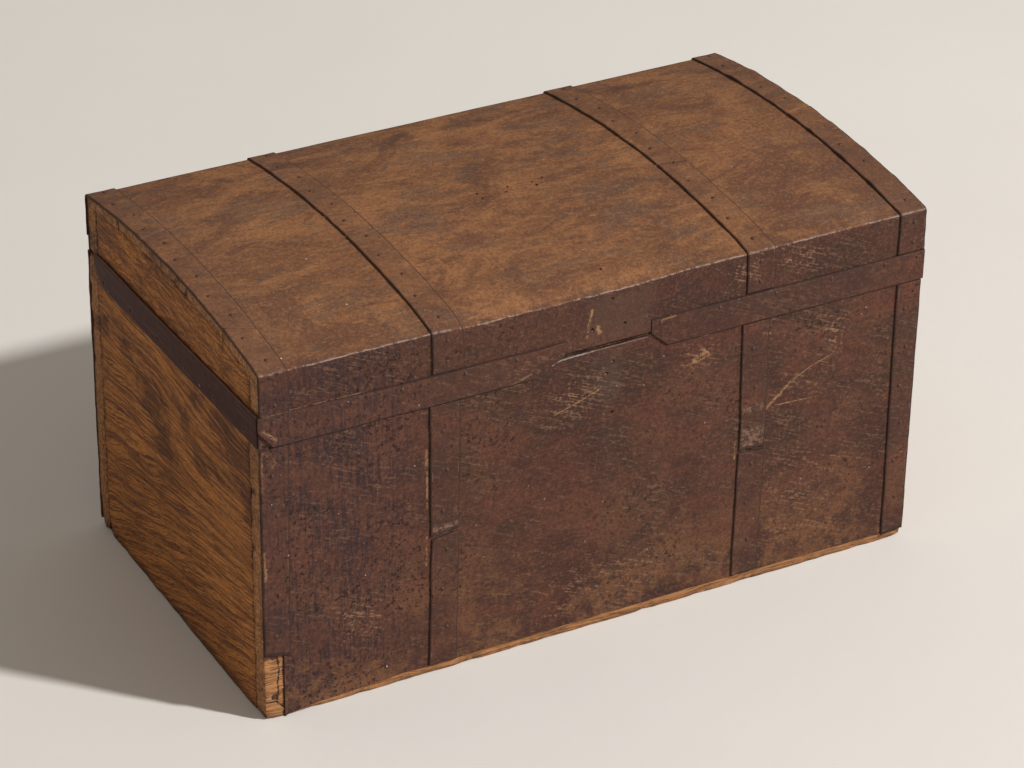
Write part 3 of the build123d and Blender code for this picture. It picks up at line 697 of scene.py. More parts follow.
# %% The lid's profile, followed from the front's foot to the back's
def lid_profile():
    """Rows of (distance along the skin, y, z, outward y, outward z), which row begins the dome, and the
    dome's rows on their own."""
    bend = 3 * mm
    bend_steps, dome_steps = 14, 160
    lean = math.asin(half_chord / dome_radius)
    rows = []

    def add(y, z, out_y, out_z):
        length = 0.0
        if rows:
            length = rows[-1][0] + math.hypot(y - rows[-1][1], z - rows[-1][2])
        rows.append((length, y, z, out_y, out_z))

    # centre of the small bend: `bend` inside both the wall and the dome
    centre_y = half_chord - bend
    centre_z = math.sqrt((dome_radius - bend) ** 2 - centre_y**2)
    touch = math.atan2(centre_y, centre_z)
    add(dome_mid_y - half_chord, lid_low.z, -1.0, 0.0)
    for place in range(bend_steps + 1):
        angle = math.pi / 2 + (touch - math.pi / 2) * place / bend_steps
        out_y, out_z = math.sin(angle), math.cos(angle)
        add(dome_mid_y - centre_y - bend * out_y, dome_centre_z + centre_z + bend * out_z, -out_y, out_z)
    for place in range(1, dome_steps + 1):
        angle = -touch + 2 * touch * place / dome_steps
        out_y, out_z = math.sin(angle), math.cos(angle)
        add(dome_mid_y + dome_radius * out_y, dome_centre_z + dome_radius * out_z, out_y, out_z)
    for place in range(1, bend_steps + 1):
        angle = touch + (math.pi / 2 - touch) * place / bend_steps
        out_y, out_z = math.sin(angle), math.cos(angle)
        add(dome_mid_y + centre_y + bend * out_y, dome_centre_z + centre_z + bend * out_z, out_y, out_z)
    add(dome_mid_y + half_chord, lid_low.z, 1.0, 0.0)
    print("lid skin length", round(rows[-1][0], 4), "lean at the crease", round(math.degrees(lean), 2))
    dome_first = 1 + bend_steps
    return rows, dome_first, rows[dome_first : dome_first + dome_steps + 1]


profile, dome_first, dome_rows = lid_profile()
skin_length = profile[-1][0]
front_bend = (profile[1][0] + profile[dome_first][0]) / 2


def on_profile(s):
    """y, z and outward direction of the skin at distance s."""
    low, high = 0, len(profile) - 1
    while high - low > 1:
        middle = (low + high) // 2
        if profile[middle][0] <= s:
            low = middle
        else:
            high = middle
    share = (s - profile[low][0]) / (profile[high][0] - profile[low][0])
    return [a + (b - a) * share for a, b in zip(profile[low][1:], profile[high][1:])]


def skin_at(distance_behind_front):
    """Distance along the skin of the place that is so far behind the lid's front, on the dome."""
    y = lid_low.y + distance_behind_front
    for before, after in zip(dome_rows, dome_rows[1:]):
        if after[1] >= y:
            return before[0] + (after[0] - before[0]) * (y - before[1]) / (after[1] - before[1])
    return dome_rows[-1][0]


# %% Laying a pattern on the chest
def uneven(x, s):
    """How far the skin stands off its true place, in metres: always a little inward."""
    waves = noise.noise(Vector((x / 0.075, s / 0.055, 1.3))) * 0.5
    waves += noise.noise(Vector((x / 0.021, s / 0.019, 7.7))) * 0.22
    return (waves - 0.55) * 0.42 * mm


def lay_on_lid(x, s, height):
    y, z, out_y, out_z = on_profile(min(max(s, 0.0), skin_length))
    lift = height + uneven(x, s)
    return settle(Vector((x, y + out_y * lift, z + out_z * lift)))


def lay_on_front(x, z, height):
    return Vector((x, body_front - height - uneven(x, z + 1.0), z))


def lay_on_back(x, z, height):
    return Vector((x, body_back + height + uneven(x, z + 2.0), z))


body_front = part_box("front_cover")[0].y
body_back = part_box("back_cover")[1].y


# %% A flat pattern with thickness
def pattern(width, length, thickness, cell_u, cell_v, rounding):
    """A closed flat sheet from (0, 0, 0) to (width, length, thickness), in small cells."""
    bm = bmesh.new()
    cells_u, cells_v = max(2, round(width / cell_u)), max(2, round(length / cell_v))
    bmesh.ops.create_grid(bm, x_segments=cells_u, y_segments=cells_v, size=0.5)
    place = Matrix.Translation((width / 2, length / 2, 0)) @ Matrix.Diagonal((width, length, 1, 1))
    bmesh.ops.transform(bm, matrix=place, verts=bm.verts[:])
    grown = bmesh.ops.extrude_face_region(bm, geom=bm.faces[:])["geom"]
    upper = [part for part in grown if isinstance(part, bmesh.types.BMVert)]
    bmesh.ops.translate(bm, verts=upper, vec=(0, 0, thickness))
    bmesh.ops.recalc_face_normals(bm, faces=bm.faces[:])
    if rounding > 0:
        rim = [
            e for e in bm.edges if min(v.co.z for v in e.verts) > thickness / 2 and e.calc_face_angle() > 1.0
        ]
        bmesh.ops.bevel(bm, geom=rim, offset=rounding, segments=2, profile=0.5, affect="EDGES", material=-1)
    return bm


def pierce(bm, u, v, radius, thickness, seed):
    """A ragged round hole through a flat pattern at (u, v)."""
    rng = random.Random(seed)
    lone = []
    for height in (thickness, 0.0):
        centre = Vector((u, v, height))
        nearest = min((p for p in bm.verts if abs(p.co.z - height) < 1e-7), key=lambda p: (p.co - centre).length)
        nearest.co = centre
        lone.append(nearest)
    cut = bmesh.ops.bevel(bm, geom=lone, offset=radius, segments=1, profile=0.5, affect="VERTICES", material=-1)
    rings = []
    wobble = [rng.uniform(0.85, 1.18) for _ in range(12)]
    for face in cut["faces"]:
        bmesh.ops.bisect_edges(bm, edges=face.edges[:], cuts=2)
        middle = Vector((u, v, face.verts[0].co.z))
        for corner in face.verts:
            way = corner.co - middle
            turn = int((math.atan2(way.y, way.x) + math.pi) / (2 * math.pi) * 12) % 12
            corner.co = middle + way.normalized() * radius * wobble[turn]
        rings += face.edges[:]
    bmesh.ops.delete(bm, geom=cut["faces"], context="FACES_ONLY")
    bmesh.ops.bridge_loops(bm, edges=rings)


# %% [markdown]
# ## The sheets
# One sheet covers the front of the body, one the back, and one bends over the whole lid. Their holes
# are real: the lost handle, hasp and lock left open nail holes, and the CAD boards behind have the
# same holes, so each one is truly deep. Each hole starts as one grid point that opens into a ring.

# %% The lid's sheet
hole_radius = 1.75 * mm
handle_holes = [(-28.5, -0.5), (-28.5, -10.5), (-4.5, -8.5), (1.0, -0.5), (24.0, -2.0), (25.5, -8.5), (36.0, 1.5)]
hasp_hole = (9.5, -150.0)
lock_holes = [(7.0, 326.0), (-11.5, 299.0), (19.5, 298.0)]
cover_thickness = 1.0 * mm
lid_width = lid_high.x - lid_low.x
dome_middle_s = skin_length / 2


def lid_sheet():
    bm = pattern(lid_width, skin_length, cover_thickness, 4 * mm, 3.6 * mm, 0.3 * mm)
    for bend in (front_bend, skin_length - front_bend):
        for step in range(-3, 4):
            everything = bm.verts[:] + bm.edges[:] + bm.faces[:]
            level = (0, bend + step * 0.8 * mm, 0)
            bmesh.ops.bisect_plane(bm, geom=everything, plane_co=level, plane_no=(0, 1, 0), dist=0.2 * mm)
    holes = [(x * mm, dome_middle_s + y * mm) for x, y in handle_holes + [hasp_hole]]
    holes += [(x * mm, z * mm - lid_low.z) for x, z in lock_holes]
    for seed, (x, s) in enumerate(holes):
        wide = 1.25 if seed == 9 else 0.95
        pierce(bm, x - lid_low.x, s, hole_radius * wide, cover_thickness, seed)
    fold = bm.verts.layers.float.new("fold")
    for v in bm.verts:
        x, s, height = v.co.x + lid_low.x, v.co.y, v.co.z
        v[fold] = min(s, skin_length - s) - front_bend
        end = min(v.co.x, lid_width - v.co.x)
        ragged = noise.noise(Vector((s / 0.012, x, 2.0))) * 0.5 * mm * max(0.0, 1 - end / (8 * mm))
        v.co = lay_on_lid(x + ragged * (-1 if x > 0 else 1) * 0.6, s, height - cover_thickness)
    return show("lid_sheet", bm, "lid", cover_hide, ["lid_cover"])


piece = lid_sheet()
print(piece.name, len(piece.data.polygons), "faces")

# %% The front and back sheets
lowest_strip = [(-318.5, 0.0), (-300, 1.5), (-275, 4.5), (-190, 8.5), (80, 10.0), (318.5, 8.0)]
body_holes = [(9.5, 264.5), (3.0, 254.0), (10.0, 213.0), (4.0, 121.0)]
torn_side = -300.0 * mm    # the sheet's bottom left corner is torn off up to here
torn_top = 62.0 * mm
torn_slant = -0.14
lock_notch = (-40 * mm, 47 * mm, 1.9 * mm)    # from, to, and how far the front sheet drops between
upright_fold = -0.1        # the fold mark of anything that stands upright, far from the lid's crease


def along_line(places, x):
    """The height, in metres, of a line through (x, z) places in millimetres."""
    for (x0, z0), (x1, z1) in zip(places, places[1:]):
        if x <= x1 * mm:
            return (z0 + (z1 - z0) * max(0.0, (x / mm - x0) / (x1 - x0))) * mm
    return places[-1][1] * mm


def body_sheet(name, node, lay, foot, holes):
    """A sheet on the front or back of the body. Only the front's has holes, a notch and a torn corner."""
    low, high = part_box(node)
    width, height = high.x - low.x, high.z
    bm = pattern(width, height, cover_thickness, 4.2 * mm, 4.2 * mm, 0.0)
    if holes:
        for place, way in (((torn_side - low.x, 0, 0), (1, 0, 0)), ((0, torn_top, 0), (torn_slant, 1, 0))):
            everything = bm.verts[:] + bm.edges[:] + bm.faces[:]
            bmesh.ops.bisect_plane(bm, geom=everything, plane_co=place, plane_no=way, dist=merge_gap)
        torn = []
        for face in bm.faces:
            middle = face.calc_center_median()
            if middle.x < torn_side - low.x and middle.y - torn_top < -torn_slant * middle.x:
                torn.append(face)
        bmesh.ops.delete(bm, geom=torn, context="FACES")
        rim = [e for e in bm.edges if e.is_boundary and abs(e.verts[0].co.z - e.verts[1].co.z) < merge_gap]
        bmesh.ops.bridge_loops(bm, edges=rim)
    for seed, (x, z) in enumerate(holes):
        pierce(bm, x * mm - low.x, z * mm, hole_radius * 0.95, cover_thickness, 40 + seed)
    fold = bm.verts.layers.float.new("fold")
    notch_from, notch_to, notch_depth = lock_notch
    for v in bm.verts:
        v[fold] = upright_fold
        x = v.co.x + low.x
        bottom = foot(x) + 0.7 * mm * noise.noise(Vector((x / 0.02, 5.0, 0.0)))
        dip = min(max((x - notch_from) / (5 * mm), 0), 1) * min(max((notch_to - x) / (5 * mm), 0), 1)
        upper = high.z - (notch_depth * dip if holes else 0.0)
        z = bottom + (upper - bottom) * v.co.y / height
        if holes and x < torn_side:
            z = v.co.y + 1.0 * mm * noise.noise(Vector((x / 0.006, 9.0, 0.0)))
            z = min(z, high.z)
        v.co = lay(x, z, v.co.z - cover_thickness)
    bmesh.ops.recalc_face_normals(bm, faces=bm.faces[:])
    bmesh.ops.triangulate(bm, faces=[f for f in bm.faces if len(f.verts) > 4])
    return show(name, bm, "body", cover_hide, [node])


front_sheet = body_sheet(
    "front_sheet", "front_cover", lay_on_front, lambda x: along_line(lowest_strip, x), body_holes
)
back_sheet = body_sheet("back_sheet", "back_cover", lay_on_back, lambda x: 6 * mm, [])
for piece in (front_sheet, back_sheet):
    print(piece.name, len(piece.data.polygons), "faces")

# %% [markdown]
# ## Where the fastenings are
# The CAD model keeps all the tacks of one group in one piece, so their places are read from it: the
# mesh is split into its separate solids, and for each one the middle of its head and the way it points
# are measured. The straps need them too, because hide is pulled down and stained round each tack.


# %% Reading the fastenings from the CAD model
def fastenings(node):
    """(top of the head, outward direction) of each separate solid in a CAD node."""
    bm = bmesh.new()
    bm.from_mesh(nodes[node].data)
    bmesh.ops.remove_doubles(bm, verts=bm.verts[:], dist=merge_gap)
    waiting = set(bm.verts)
    found = []
    while waiting:
        group, edge_of_group = [], [waiting.pop()]
        while edge_of_group:
            v = edge_of_group.pop()
            group.append(v.co.copy())
            for e in v.link_edges:
                other = e.other_vert(v)
                if other in waiting:
                    waiting.remove(other)
                    edge_of_group.append(other)
        middle = sum(group, Vector()) / len(group)
        reach = max((p - middle).length for p in group)
        tip_points = [p for p in group if (p - middle).length > 0.93 * reach]
        tip = sum(tip_points, Vector()) / len(tip_points)
        way = (middle - tip).normalized()
        top = max((p - tip).dot(way) for p in group)
        found.append((tip + way * top, way))
    bm.free()
    found.sort(key=lambda item: tuple(round(value, 4) for value in item[0]))
    return found


tacks = {
    node: fastenings(node)
    for node in ("front_strap_tacks", "back_strap_tacks", "end_lip_tacks", "lid_strap_tacks", "lid_skirt_tacks")
}
all_tacks = [place for group in tacks.values() for place, way in group]
for node, group in tacks.items():
    print(node, len(group), "tacks")

# %% [markdown]
# ## The straps
# Each strap is a narrow pattern with its own four corners, so a slanting join or a strap that wanders
# sideways is just a different set of corners. The long edges wave, the cut ends are ragged, the hide
# puffs up between tacks and is dished round each one. Two numbers are kept on the points for the
# finish: how near the edge is, and how near a rusty tack is.


# %% One strap
strap_thickness = 1.4 * mm
edge_sway = 0.75 * mm
long_edge_wave = 34 * mm
short_edge_wave = 9 * mm


def sway(run, long_wave, short_wave, row, seed):
    """How far a cut edge wanders to one side at the distance `run` along it, from about -1 to 1."""
    slow = noise.noise(Vector((run / long_wave, row, seed)))
    return slow + 0.4 * noise.noise(Vector((run / short_wave, row + 1.0, seed)))


def strap(name, body, node, corners, lay, seed, cut=(1, 1), buckling=1.0):
    """A strip of hide. `corners` are four places in its pattern: near left, near right, far right, far
    left. `cut` says how ragged its near and far ends are, and `buckling` how far it lifts off the dome."""
    near_left, near_right, far_right, far_left = [Vector(place) for place in corners]
    width = (near_right - near_left).length
    length = ((far_left - near_left).length + (far_right - near_right).length) / 2
    bm = pattern(width, length, strap_thickness, 2.4 * mm, 2.8 * mm, 0.45 * mm)
    if lay is lay_on_lid:
        for bend in (front_bend, skin_length - front_bend):
            middle = (bend - near_left.y) / (far_left.y - near_left.y) * length
            for step in range(-3, 4):
                everything = bm.verts[:] + bm.edges[:] + bm.faces[:]
                level = (0, middle + step * 0.9 * mm, 0)
                bmesh.ops.bisect_plane(bm, geom=everything, plane_co=level, plane_no=(0, 1, 0), dist=0.2 * mm)
    rim_mark = bm.verts.layers.float.new("rim")
    rust_mark = bm.verts.layers.float.new("rust")
    fold = bm.verts.layers.float.new("fold")
    for v in bm.verts:
        a, b = min(max(v.co.x / width, 0), 1), min(max(v.co.y / length, 0), 1)
        place = (near_left * (1 - a) + near_right * a) * (1 - b) + (far_left * (1 - a) + far_right * a) * b
        run = v.co.y + seed * 0.37
        sway_left, sway_right = [sway(run, long_edge_wave, short_edge_wave, row, seed) for row in (1.0, 4.0)]
        place.x += (sway_left * (1 - a) + sway_right * a) * edge_sway
        for strength, from_end, way in ((cut[0], b * length, 1), (cut[1], (1 - b) * length, -1)):
            fade = max(0.0, 1 - from_end / (9 * mm))
            place.y += way * fade * strength * (0.9 + noise.noise(Vector((v.co.x / 0.0055, seed, way)))) * mm
        base = lay(place.x, place.y, 0.0)
        near_tack = min((base - tack).length for tack in all_tacks)
        edge = min(v.co.x, width - v.co.x, v.co.y + 4 * mm * (1 - cut[0]), length - v.co.y + 4 * mm * (1 - cut[1]))
        puff = 0.30 * noise.noise(Vector((place.x / 0.016, place.y / 0.016, seed))) + 0.12
        dish = -0.62 * math.exp(-((near_tack / (4.6 * mm)) ** 2))
        curl = 0.35 * max(0.0, noise.noise(Vector((run / 0.022, a * 3, seed + 9)))) * max(0.0, 1 - edge / (5 * mm))
        behind = min(place.y, skin_length - place.y) - front_bend
        buckle = 0.0
        if lay is lay_on_lid:
            lifted = noise.noise(Vector((run / 0.027, seed, 3.0)))
            lifted += 0.5 * noise.noise(Vector((run / 0.011, seed, 6.0)))
            buckle = buckling * max(0.0, lifted + 0.1) * min(1.0, max(0.0, behind - 6 * mm) / (20 * mm))
        height = v.co.z + (puff + dish + curl + buckle) * mm * (v.co.z / strap_thickness)
        if v.co.z < strap_thickness * 0.25:
            height -= 0.45 * mm
        v.co = lay(place.x, place.y, height)
        v.co.z = min(v.co.z, cad_bounds[1].z - 0.3 * mm)
        v[rim_mark] = max(0.0, 1 - edge / (2.2 * mm))
        v[fold] = behind if lay is lay_on_lid else upright_fold
        v[rust_mark] = math.exp(-((near_tack / (4.2 * mm)) ** 2))
    bmesh.ops.recalc_face_normals(bm, faces=bm.faces[:])
    return show(name, bm, body, strap_hide, [node])


# %% Straps on the body
front_strap_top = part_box("front_strap_left_upper")[1].z
front_straps = {
    "left_corner": [(-318.4, 66), (-294.5, 60), (-292.6, 266), (-318.4, 266)],
    "right_corner": [(295.6, 5.6), (318.2, 7.6), (318.4, 266), (293.6, 266)],
    "left_upper": [(-163.4, 137.6), (-136.8, 140.6), (-136.0, 266), (-164.6, 266)],
    "left_lower": [(-164.6, 8.0), (-138.2, 8.4), (-136.6, 139.4), (-162.6, 136.4)],
    "right_upper": [(138.6, 138.8), (164.0, 137.0), (163.4, 266), (136.2, 266)],
    "right_lower": [(136.2, 9.0), (162.2, 10.6), (164.6, 135.8), (137.8, 137.6)],
}
for seed, (place, corners) in enumerate(front_straps.items()):
    corners = [(x * mm, min(z * mm, front_strap_top)) for x, z in corners]
    ends = (1.6, 0.0) if "lower" not in place else (1.0, 0.7)
    node = f"front_strap_{place}"
    strap(f"{node}_hide", "body", node, corners, lay_on_front, seed, cut=ends)
for number in range(1, 5):
    node = f"back_strap_{number}"
    low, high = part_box(node)
    corners = [(low.x, low.z), (high.x, low.z), (high.x, high.z), (low.x, high.z)]
    strap(f"{node}_hide", "body", node, corners, lay_on_back, 10 + number)
print(len(front_straps), "straps on the front, 4 on the back")

# %% Straps over the lid
foot_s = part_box("lid_strap_left_inner_front")[0].z - lid_low.z
join_gap = 0.35 * mm
lid_straps = {
    "left_edge": ((-318.2, -291.6), (-318.4, -291.2), [(68.0, 56.0), (230.0, 238.0)]),
    "left_inner": ((-162.4, -132.6), (-164.4, -139.6), [(156.0, 158.0), (196.0, 191.0)]),
    "right_inner": ((138.8, 166.2), (133.8, 162.0), [(152.0, 146.0)]),
    "right_edge": ((291.8, 319.0), (292.0, 317.2), [(185.0, 189.0)]),
}
piece_names = {1: ("front", "rear"), 2: ("front", "middle", "rear")}
seed = 20
for place, (front_x, rear_x, joins) in lid_straps.items():
    near_cuts = [(foot_s, foot_s)] + [tuple(skin_at(d * mm) + join_gap for d in join) for join in joins]
    far_cuts = [tuple(skin_at(d * mm) - join_gap for d in join) for join in joins] + [(skin_length - foot_s,) * 2]
    for piece_name, near, far in zip(piece_names[len(joins)], near_cuts, far_cuts):
        seed += 1
        corners = []
        for side, s in ((0, near[0]), (1, near[1]), (1, far[1]), (0, far[0])):
            share = s / skin_length
            corners.append(((front_x[side] + (rear_x[side] - front_x[side]) * share) * mm, s))
        node = f"lid_strap_{place}_{piece_name}"
        ends = (0.0 if piece_name == "front" else 0.6, 0.0 if piece_name == "rear" else 0.6)
        loose = 1.7 if place == "right_edge" else 0.9
        piece = strap(f"{node}_hide", "lid", node, corners, lay_on_lid, seed, cut=ends, buckling=loose)
        print(piece.name, len(piece.data.polygons), "faces")

# %% [markdown]
# ## The skirt and the lips
# The skirt is one more strap, nailed along the lid's front so that it hangs over the joint. It is cut
# away where the lock was, and flares there. The lips are stiffer strips nailed to the body's ends:
# they stand up past the joint and keep the lid from sliding sideways. Their outlines aren't straight,
# so each row of the pattern gets its own left and right limit, and each column its own height.


# %% A strip with limits that change along it
def shaped_strip(name, body, node, limits, edges, lay, thickness, material, seed, thin_ends=()):
    """A strip whose outline changes along it. `limits` is the low and high end of its long direction u
    and a function that trims u by height, and edges(u) gives its lower and upper side. It gets thinner
    towards `thin_ends`."""
    low_u, high_u, trim = limits
    width = high_u - low_u
    bm = pattern(width, 1.0, thickness, 2.6 * mm, 1.0 / 18, 0.0)
    rim_mark = bm.verts.layers.float.new("rim")
    rust_mark = bm.verts.layers.float.new("rust")
    fold = bm.verts.layers.float.new("fold")
    for v in bm.verts:
        v[fold] = upright_fold
        u, share = v.co.x + low_u, v.co.y
        lower, upper = edges(u)
        z = lower + (upper - lower) * share
        u = trim(u, z)
        sway_low, sway_high = [sway(u, 45 * mm, 11 * mm, row, seed) for row in (1.0, 4.0)]
        z += (sway_low * (1 - share) + sway_high * share) * 0.55 * mm
        edge = min(share, 1 - share) * (upper - lower)
        base = lay(u, z, 0.0)
        near_tack = min((base - tack).length for tack in all_tacks)
        dish = -0.45 * math.exp(-((near_tack / (4.2 * mm)) ** 2))
        puff = 0.22 * noise.noise(Vector((u / 0.03, z / 0.02, seed)))
        height = v.co.z
        if v.co.z > thickness / 2:
            height += (dish + puff) * mm - max(0.0, 1 - edge / (0.9 * mm)) * 0.45 * mm
        else:
            height -= 0.3 * mm
        for end in thin_ends:
            if abs(u - end) < 14 * mm:
                height *= 0.35 + 0.65 * abs(u - end) / (14 * mm)
        v.co = lay(u, z, height)
        v[rim_mark] = max(0.0, 1 - edge / (1.4 * mm))
        v[rust_mark] = math.exp(-((near_tack / (4.2 * mm)) ** 2))
    bmesh.ops.recalc_face_normals(bm, faces=bm.faces[:])
    return show(name, bm, body, material, [node])


# %% The skirt
skirt_low, skirt_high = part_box("lid_skirt_left")
skirt_thickness = 1.6 * mm
lock_left = skirt_high.x
lock_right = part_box("lid_skirt_right")[0].x
skirt_right_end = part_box("lid_skirt_right")[1].x
joint_z = 281.5 * mm


def lay_on_lid_front(x, z, height):
    return Vector((x, lid_low.y - height + 0.15 * mm * noise.noise(Vector((x / 0.05, z / 0.03, 4.0))), z))


def trim_left_skirt(x, z):
    corner = max(0.0, skirt_low.z + 17 * mm - z) / (17 * mm) * 14 * mm
    flare = max(0.0, joint_z - z) / (15 * mm) * 27 * mm
    share = (x - skirt_low.x) / (lock_left - skirt_low.x)
    return skirt_low.x + corner + (lock_left - flare - skirt_low.x - corner) * share


def trim_right_skirt(x, z):
    flare = max(0.0, joint_z - z) / (15 * mm) * 17 * mm
    share = (x - lock_right) / (skirt_right_end - lock_right)
    return lock_right + flare + (skirt_right_end - lock_right - flare) * share


def skirt_edges(x):
    rise = 2.6 * mm * max(0.0, (-x - 0.16) / 0.16) + 1.0 * mm * max(0.0, (x - 0.24) / 0.08)
    return skirt_low.z + 0.3 * mm, skirt_high.z - 0.8 * mm + rise


for side, ends, trim in (
    ("left", (skirt_low.x, lock_left), trim_left_skirt),
    ("right", (lock_right, skirt_right_end), trim_right_skirt),
):
    piece = shaped_strip(
        f"lid_skirt_{side}_hide",
        "lid",
        f"lid_skirt_{side}",
        (*ends, trim),
        skirt_edges,
        lay_on_lid_front,
        skirt_thickness,
        strap_hide,
        50 + len(side),
        thin_ends=(lock_left, lock_right),
    )
    print(piece.name, len(piece.data.polygons), "faces")

# %% The lips
lip_thickness = 1.5 * mm
for side, sign in (("left", -1), ("right", 1)):
    lip_low, lip_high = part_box(f"{side}_end_lip")
    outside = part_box(f"{side}_end_board")[0 if sign < 0 else 1].x

    def lip_edges(y):
        share = (y - lip_low.y) / (lip_high.y - lip_low.y)
        upper = lip_high.z - 9 * mm * (1 - (1 - share) ** 1.6)
        lower = lip_low.z + 7 * mm * (1 - share) ** 1.4
        taper = max(0.0, (share - 0.955) / 0.045)
        return lower + taper * 16 * mm, upper - taper * 1.5 * mm

    def lay_on_end(y, z, height):
        return Vector((outside + sign * height, y, z))

    piece = shaped_strip(
        f"{side}_end_lip_worn",
        "body",
        f"{side}_end_lip",
        (lip_low.y, lip_high.y, lambda y, z: y),
        lip_edges,
        lay_on_end,
        lip_thickness,
        lip_black,
        60 + sign,
    )
    print(piece.name, len(piece.data.polygons), "faces")

# %% [markdown]
# ## Tacks and nails
# A hand-made tack has a low, slightly lopsided head. One profile, spun round, makes it, and copies
# are turned, tilted and scaled a little, each in its own way. The nails of the carcass have flatter
# heads, driven flush, and only two of them show, on the bare patch at the left front corner.


# %% Spinning one fastening
def spun(outline, steps):
    """A closed round shape from (radius, height) places, with its head upwards."""
    bm = bmesh.new()
    points = [bm.verts.new((radius * mm, 0, height * mm)) for radius, height in outline]
    edges = [bm.edges.new(pair) for pair in zip(points, points[1:])]
    bmesh.ops.spin(
        bm,
        geom=points + edges,
        cent=(0, 0, 0),
        axis=(0, 0, 1),
        angle=2 * math.pi,
        steps=steps,
        use_merge=True,
    )
    bmesh.ops.remove_doubles(bm, verts=bm.verts[:], dist=merge_gap)
    bmesh.ops.recalc_face_normals(bm, faces=bm.faces[:])
    mesh = bpy.data.meshes.new("one_fastening")
    bm.to_mesh(mesh)
    bm.free()
    return mesh


def scattered(name, body, node, one, places, material, lift, seed, tilt=5.0, smaller=1.0):
    """Copies of one fastening at the given places, no two quite alike."""
    rng = random.Random(seed)
    bm = bmesh.new()
    for place, way in places:
        before = len(bm.verts)
        bm.from_mesh(one)
        bm.verts.ensure_lookup_table()
        fresh = bm.verts[before:]
        size = rng.uniform(0.88, 1.08) * smaller
        lean = Matrix.Rotation(math.radians(rng.uniform(-tilt, tilt)), 4, "X")
        spin = Matrix.Rotation(rng.uniform(0, 2 * math.pi), 4, "Z")
        squash = Matrix.Diagonal((size, size * rng.uniform(0.90, 1.0), rng.uniform(0.85, 1.05), 1))
        turn = way.to_track_quat("Z", "Y").to_matrix().to_4x4()
        matrix = Matrix.Translation(place + way * lift) @ turn @ lean @ spin @ squash
        bmesh.ops.transform(bm, matrix=matrix, verts=fresh)
    return show(name, bm, body, material, [node])


tack_outline = [(0, 0), (1.0, -0.08), (1.8, -0.42), (2.25, -0.95), (0.8, -1.15), (0.75, -7.2), (0, -9.6)]
nail_outline = [(0, 0.12), (1.5, 0.05), (2.5, -0.25), (2.55, -0.7), (1.3, -0.8), (1.2, -30.0), (0, -33.8)]
tack = spun(tack_outline, 10)
nail = spun(nail_outline, 8)

# %% Every tack and nail
tack_jobs = [
    ("front_strap_tacks", "body", -0.25),
    ("back_strap_tacks", "body", -0.25),
    ("end_lip_tacks", "body", -0.15),
    ("lid_strap_tacks", "lid", -0.35),
    ("lid_skirt_tacks", "lid", -0.15),
]
for seed, (node, body, lift) in enumerate(tack_jobs):
    piece = scattered(f"{node}_worn", body, node, tack, tacks[node], tack_iron, lift * mm, 70 + seed, smaller=0.86)
    print(piece.name, len(piece.data.polygons), "faces")
for seed, (node, body) in enumerate((("carcass_nails", "body"), ("lid_frame_nails", "lid"))):
    piece = scattered(f"{node}_worn", body, node, nail, fastenings(node), tack_iron, -0.05 * mm, 80 + seed, 1.5)
    print(piece.name, len(piece.data.polygons), "faces")

# %% [markdown]
# ## The hinges
# Two plain butt hinges outside the back let the lid turn. Their CAD shapes are already right, with
# real knuckles, pins and countersunk screws, so they stay and only get the brown iron finish.

# %% Iron for the hinges and screws
for node, shape in nodes.items():
    if not shape.hide_render:
        shape.data.materials.clear()
        shape.data.materials.append(hinge_iron)
        shape.data.polygons.foreach_set("use_smooth", [True] * len(shape.data.polygons))
        shape.data.set_sharp_from_angle(angle=sharp_angle)
        print(node, "gets", hinge_iron.name)

# %% [markdown]
# ## The studio
# A plain pale floor, one large soft lamp high on the right in front, and a weak even light from all
# around. The lamp lights the front and the dome and leaves the left end in shade, so the grain there
# is read by the soft light alone. The camera is a long lens from far away, high on the left.

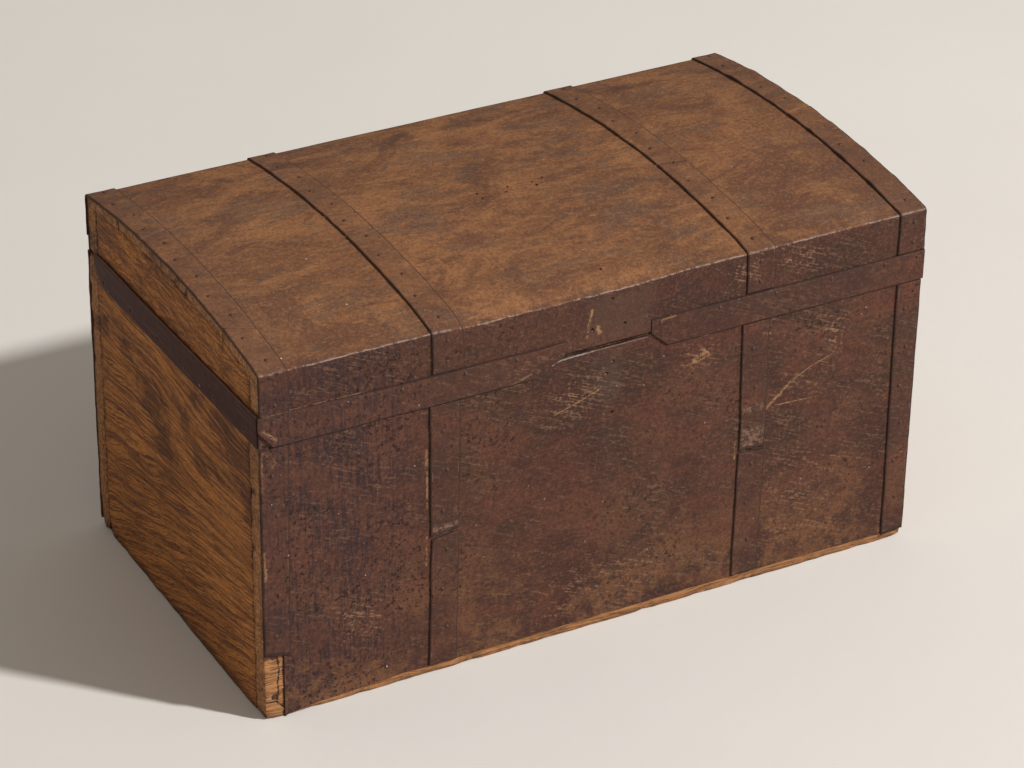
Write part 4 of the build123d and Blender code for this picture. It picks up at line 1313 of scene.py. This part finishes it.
# %% Floor and light
floor_finish = Finish("plain_floor")
floor_tone = floor_finish.cloud(0.4, (1, 1, 1), 3.0)
floor_colour = floor_finish.blend(floor_tone, (0.70, 0.685, 0.665), (0.75, 0.735, 0.715))
floor_material = floor_finish.done(floor_colour, 0.85, floor_finish.cloud(0.02), 0.2 * mm, specular=0.2)
floor_mesh = bmesh.new()
bmesh.ops.create_grid(floor_mesh, x_segments=2, y_segments=2, size=12.0)
mesh = bpy.data.meshes.new("studio_floor")
floor_mesh.to_mesh(mesh)
floor_mesh.free()
floor = bpy.data.objects.new("studio_floor", mesh)
bpy.context.scene.collection.objects.link(floor)
mesh.materials.append(floor_material)

lamp_data = bpy.data.lights.new("soft_lamp", "AREA")
lamp_data.shape = "DISK"
lamp_data.size = 0.55
lamp_data.energy = 880.0
lamp_data.color = (1.0, 0.975, 0.94)
lamp = bpy.data.objects.new("soft_lamp", lamp_data)
bpy.context.scene.collection.objects.link(lamp)
lamp_turn, lamp_lift, lamp_far = math.radians(41.5), math.radians(39), 9.0
flat = math.cos(lamp_lift)
lamp_way = Vector((math.sin(lamp_turn) * flat, -math.cos(lamp_turn) * flat, math.sin(lamp_lift)))
aim = Vector((0, 0, 0.17))
lamp.location = aim + lamp_way * lamp_far
lamp.rotation_euler = lamp_way.to_track_quat("Z", "Y").to_euler()

world = bpy.data.worlds.new("soft_surround")
bpy.context.scene.world = world
world.use_nodes = True
background = world.node_tree.nodes["Background"]
background.inputs["Color"].default_value = (1.0, 0.90, 0.79, 1.0)
background.inputs["Strength"].default_value = 0.35
bpy.context.scene.view_settings.view_transform = "Standard"

# %% Camera
camera_data = bpy.data.cameras.new("camera")
camera_data.lens = 130.17    # long, so that the chest's far edges shrink only a little
camera_data.sensor_width = 36.0
camera_data.clip_end = 60.0
camera = bpy.data.objects.new("camera", camera_data)
bpy.context.scene.collection.objects.link(camera)
eye = Vector((-1.3630, -2.5010, 1.8133))
yaw, pitch, roll = math.radians(28.7715), math.radians(30.2604), math.radians(0.8155)
forward = Vector((math.sin(yaw) * math.cos(pitch), math.cos(yaw) * math.cos(pitch), -math.sin(pitch)))
level = forward.cross(Vector((0, 0, 1))).normalized()
upward = level.cross(forward)
right = level * math.cos(roll) + upward * math.sin(roll)
above = upward * math.cos(roll) - level * math.sin(roll)
camera.matrix_world = Matrix(
    (
        (right.x, above.x, -forward.x, eye.x),
        (right.y, above.y, -forward.y, eye.y),
        (right.z, above.z, -forward.z, eye.z),
        (0, 0, 0, 1),
    )
)
bpy.context.scene.camera = camera
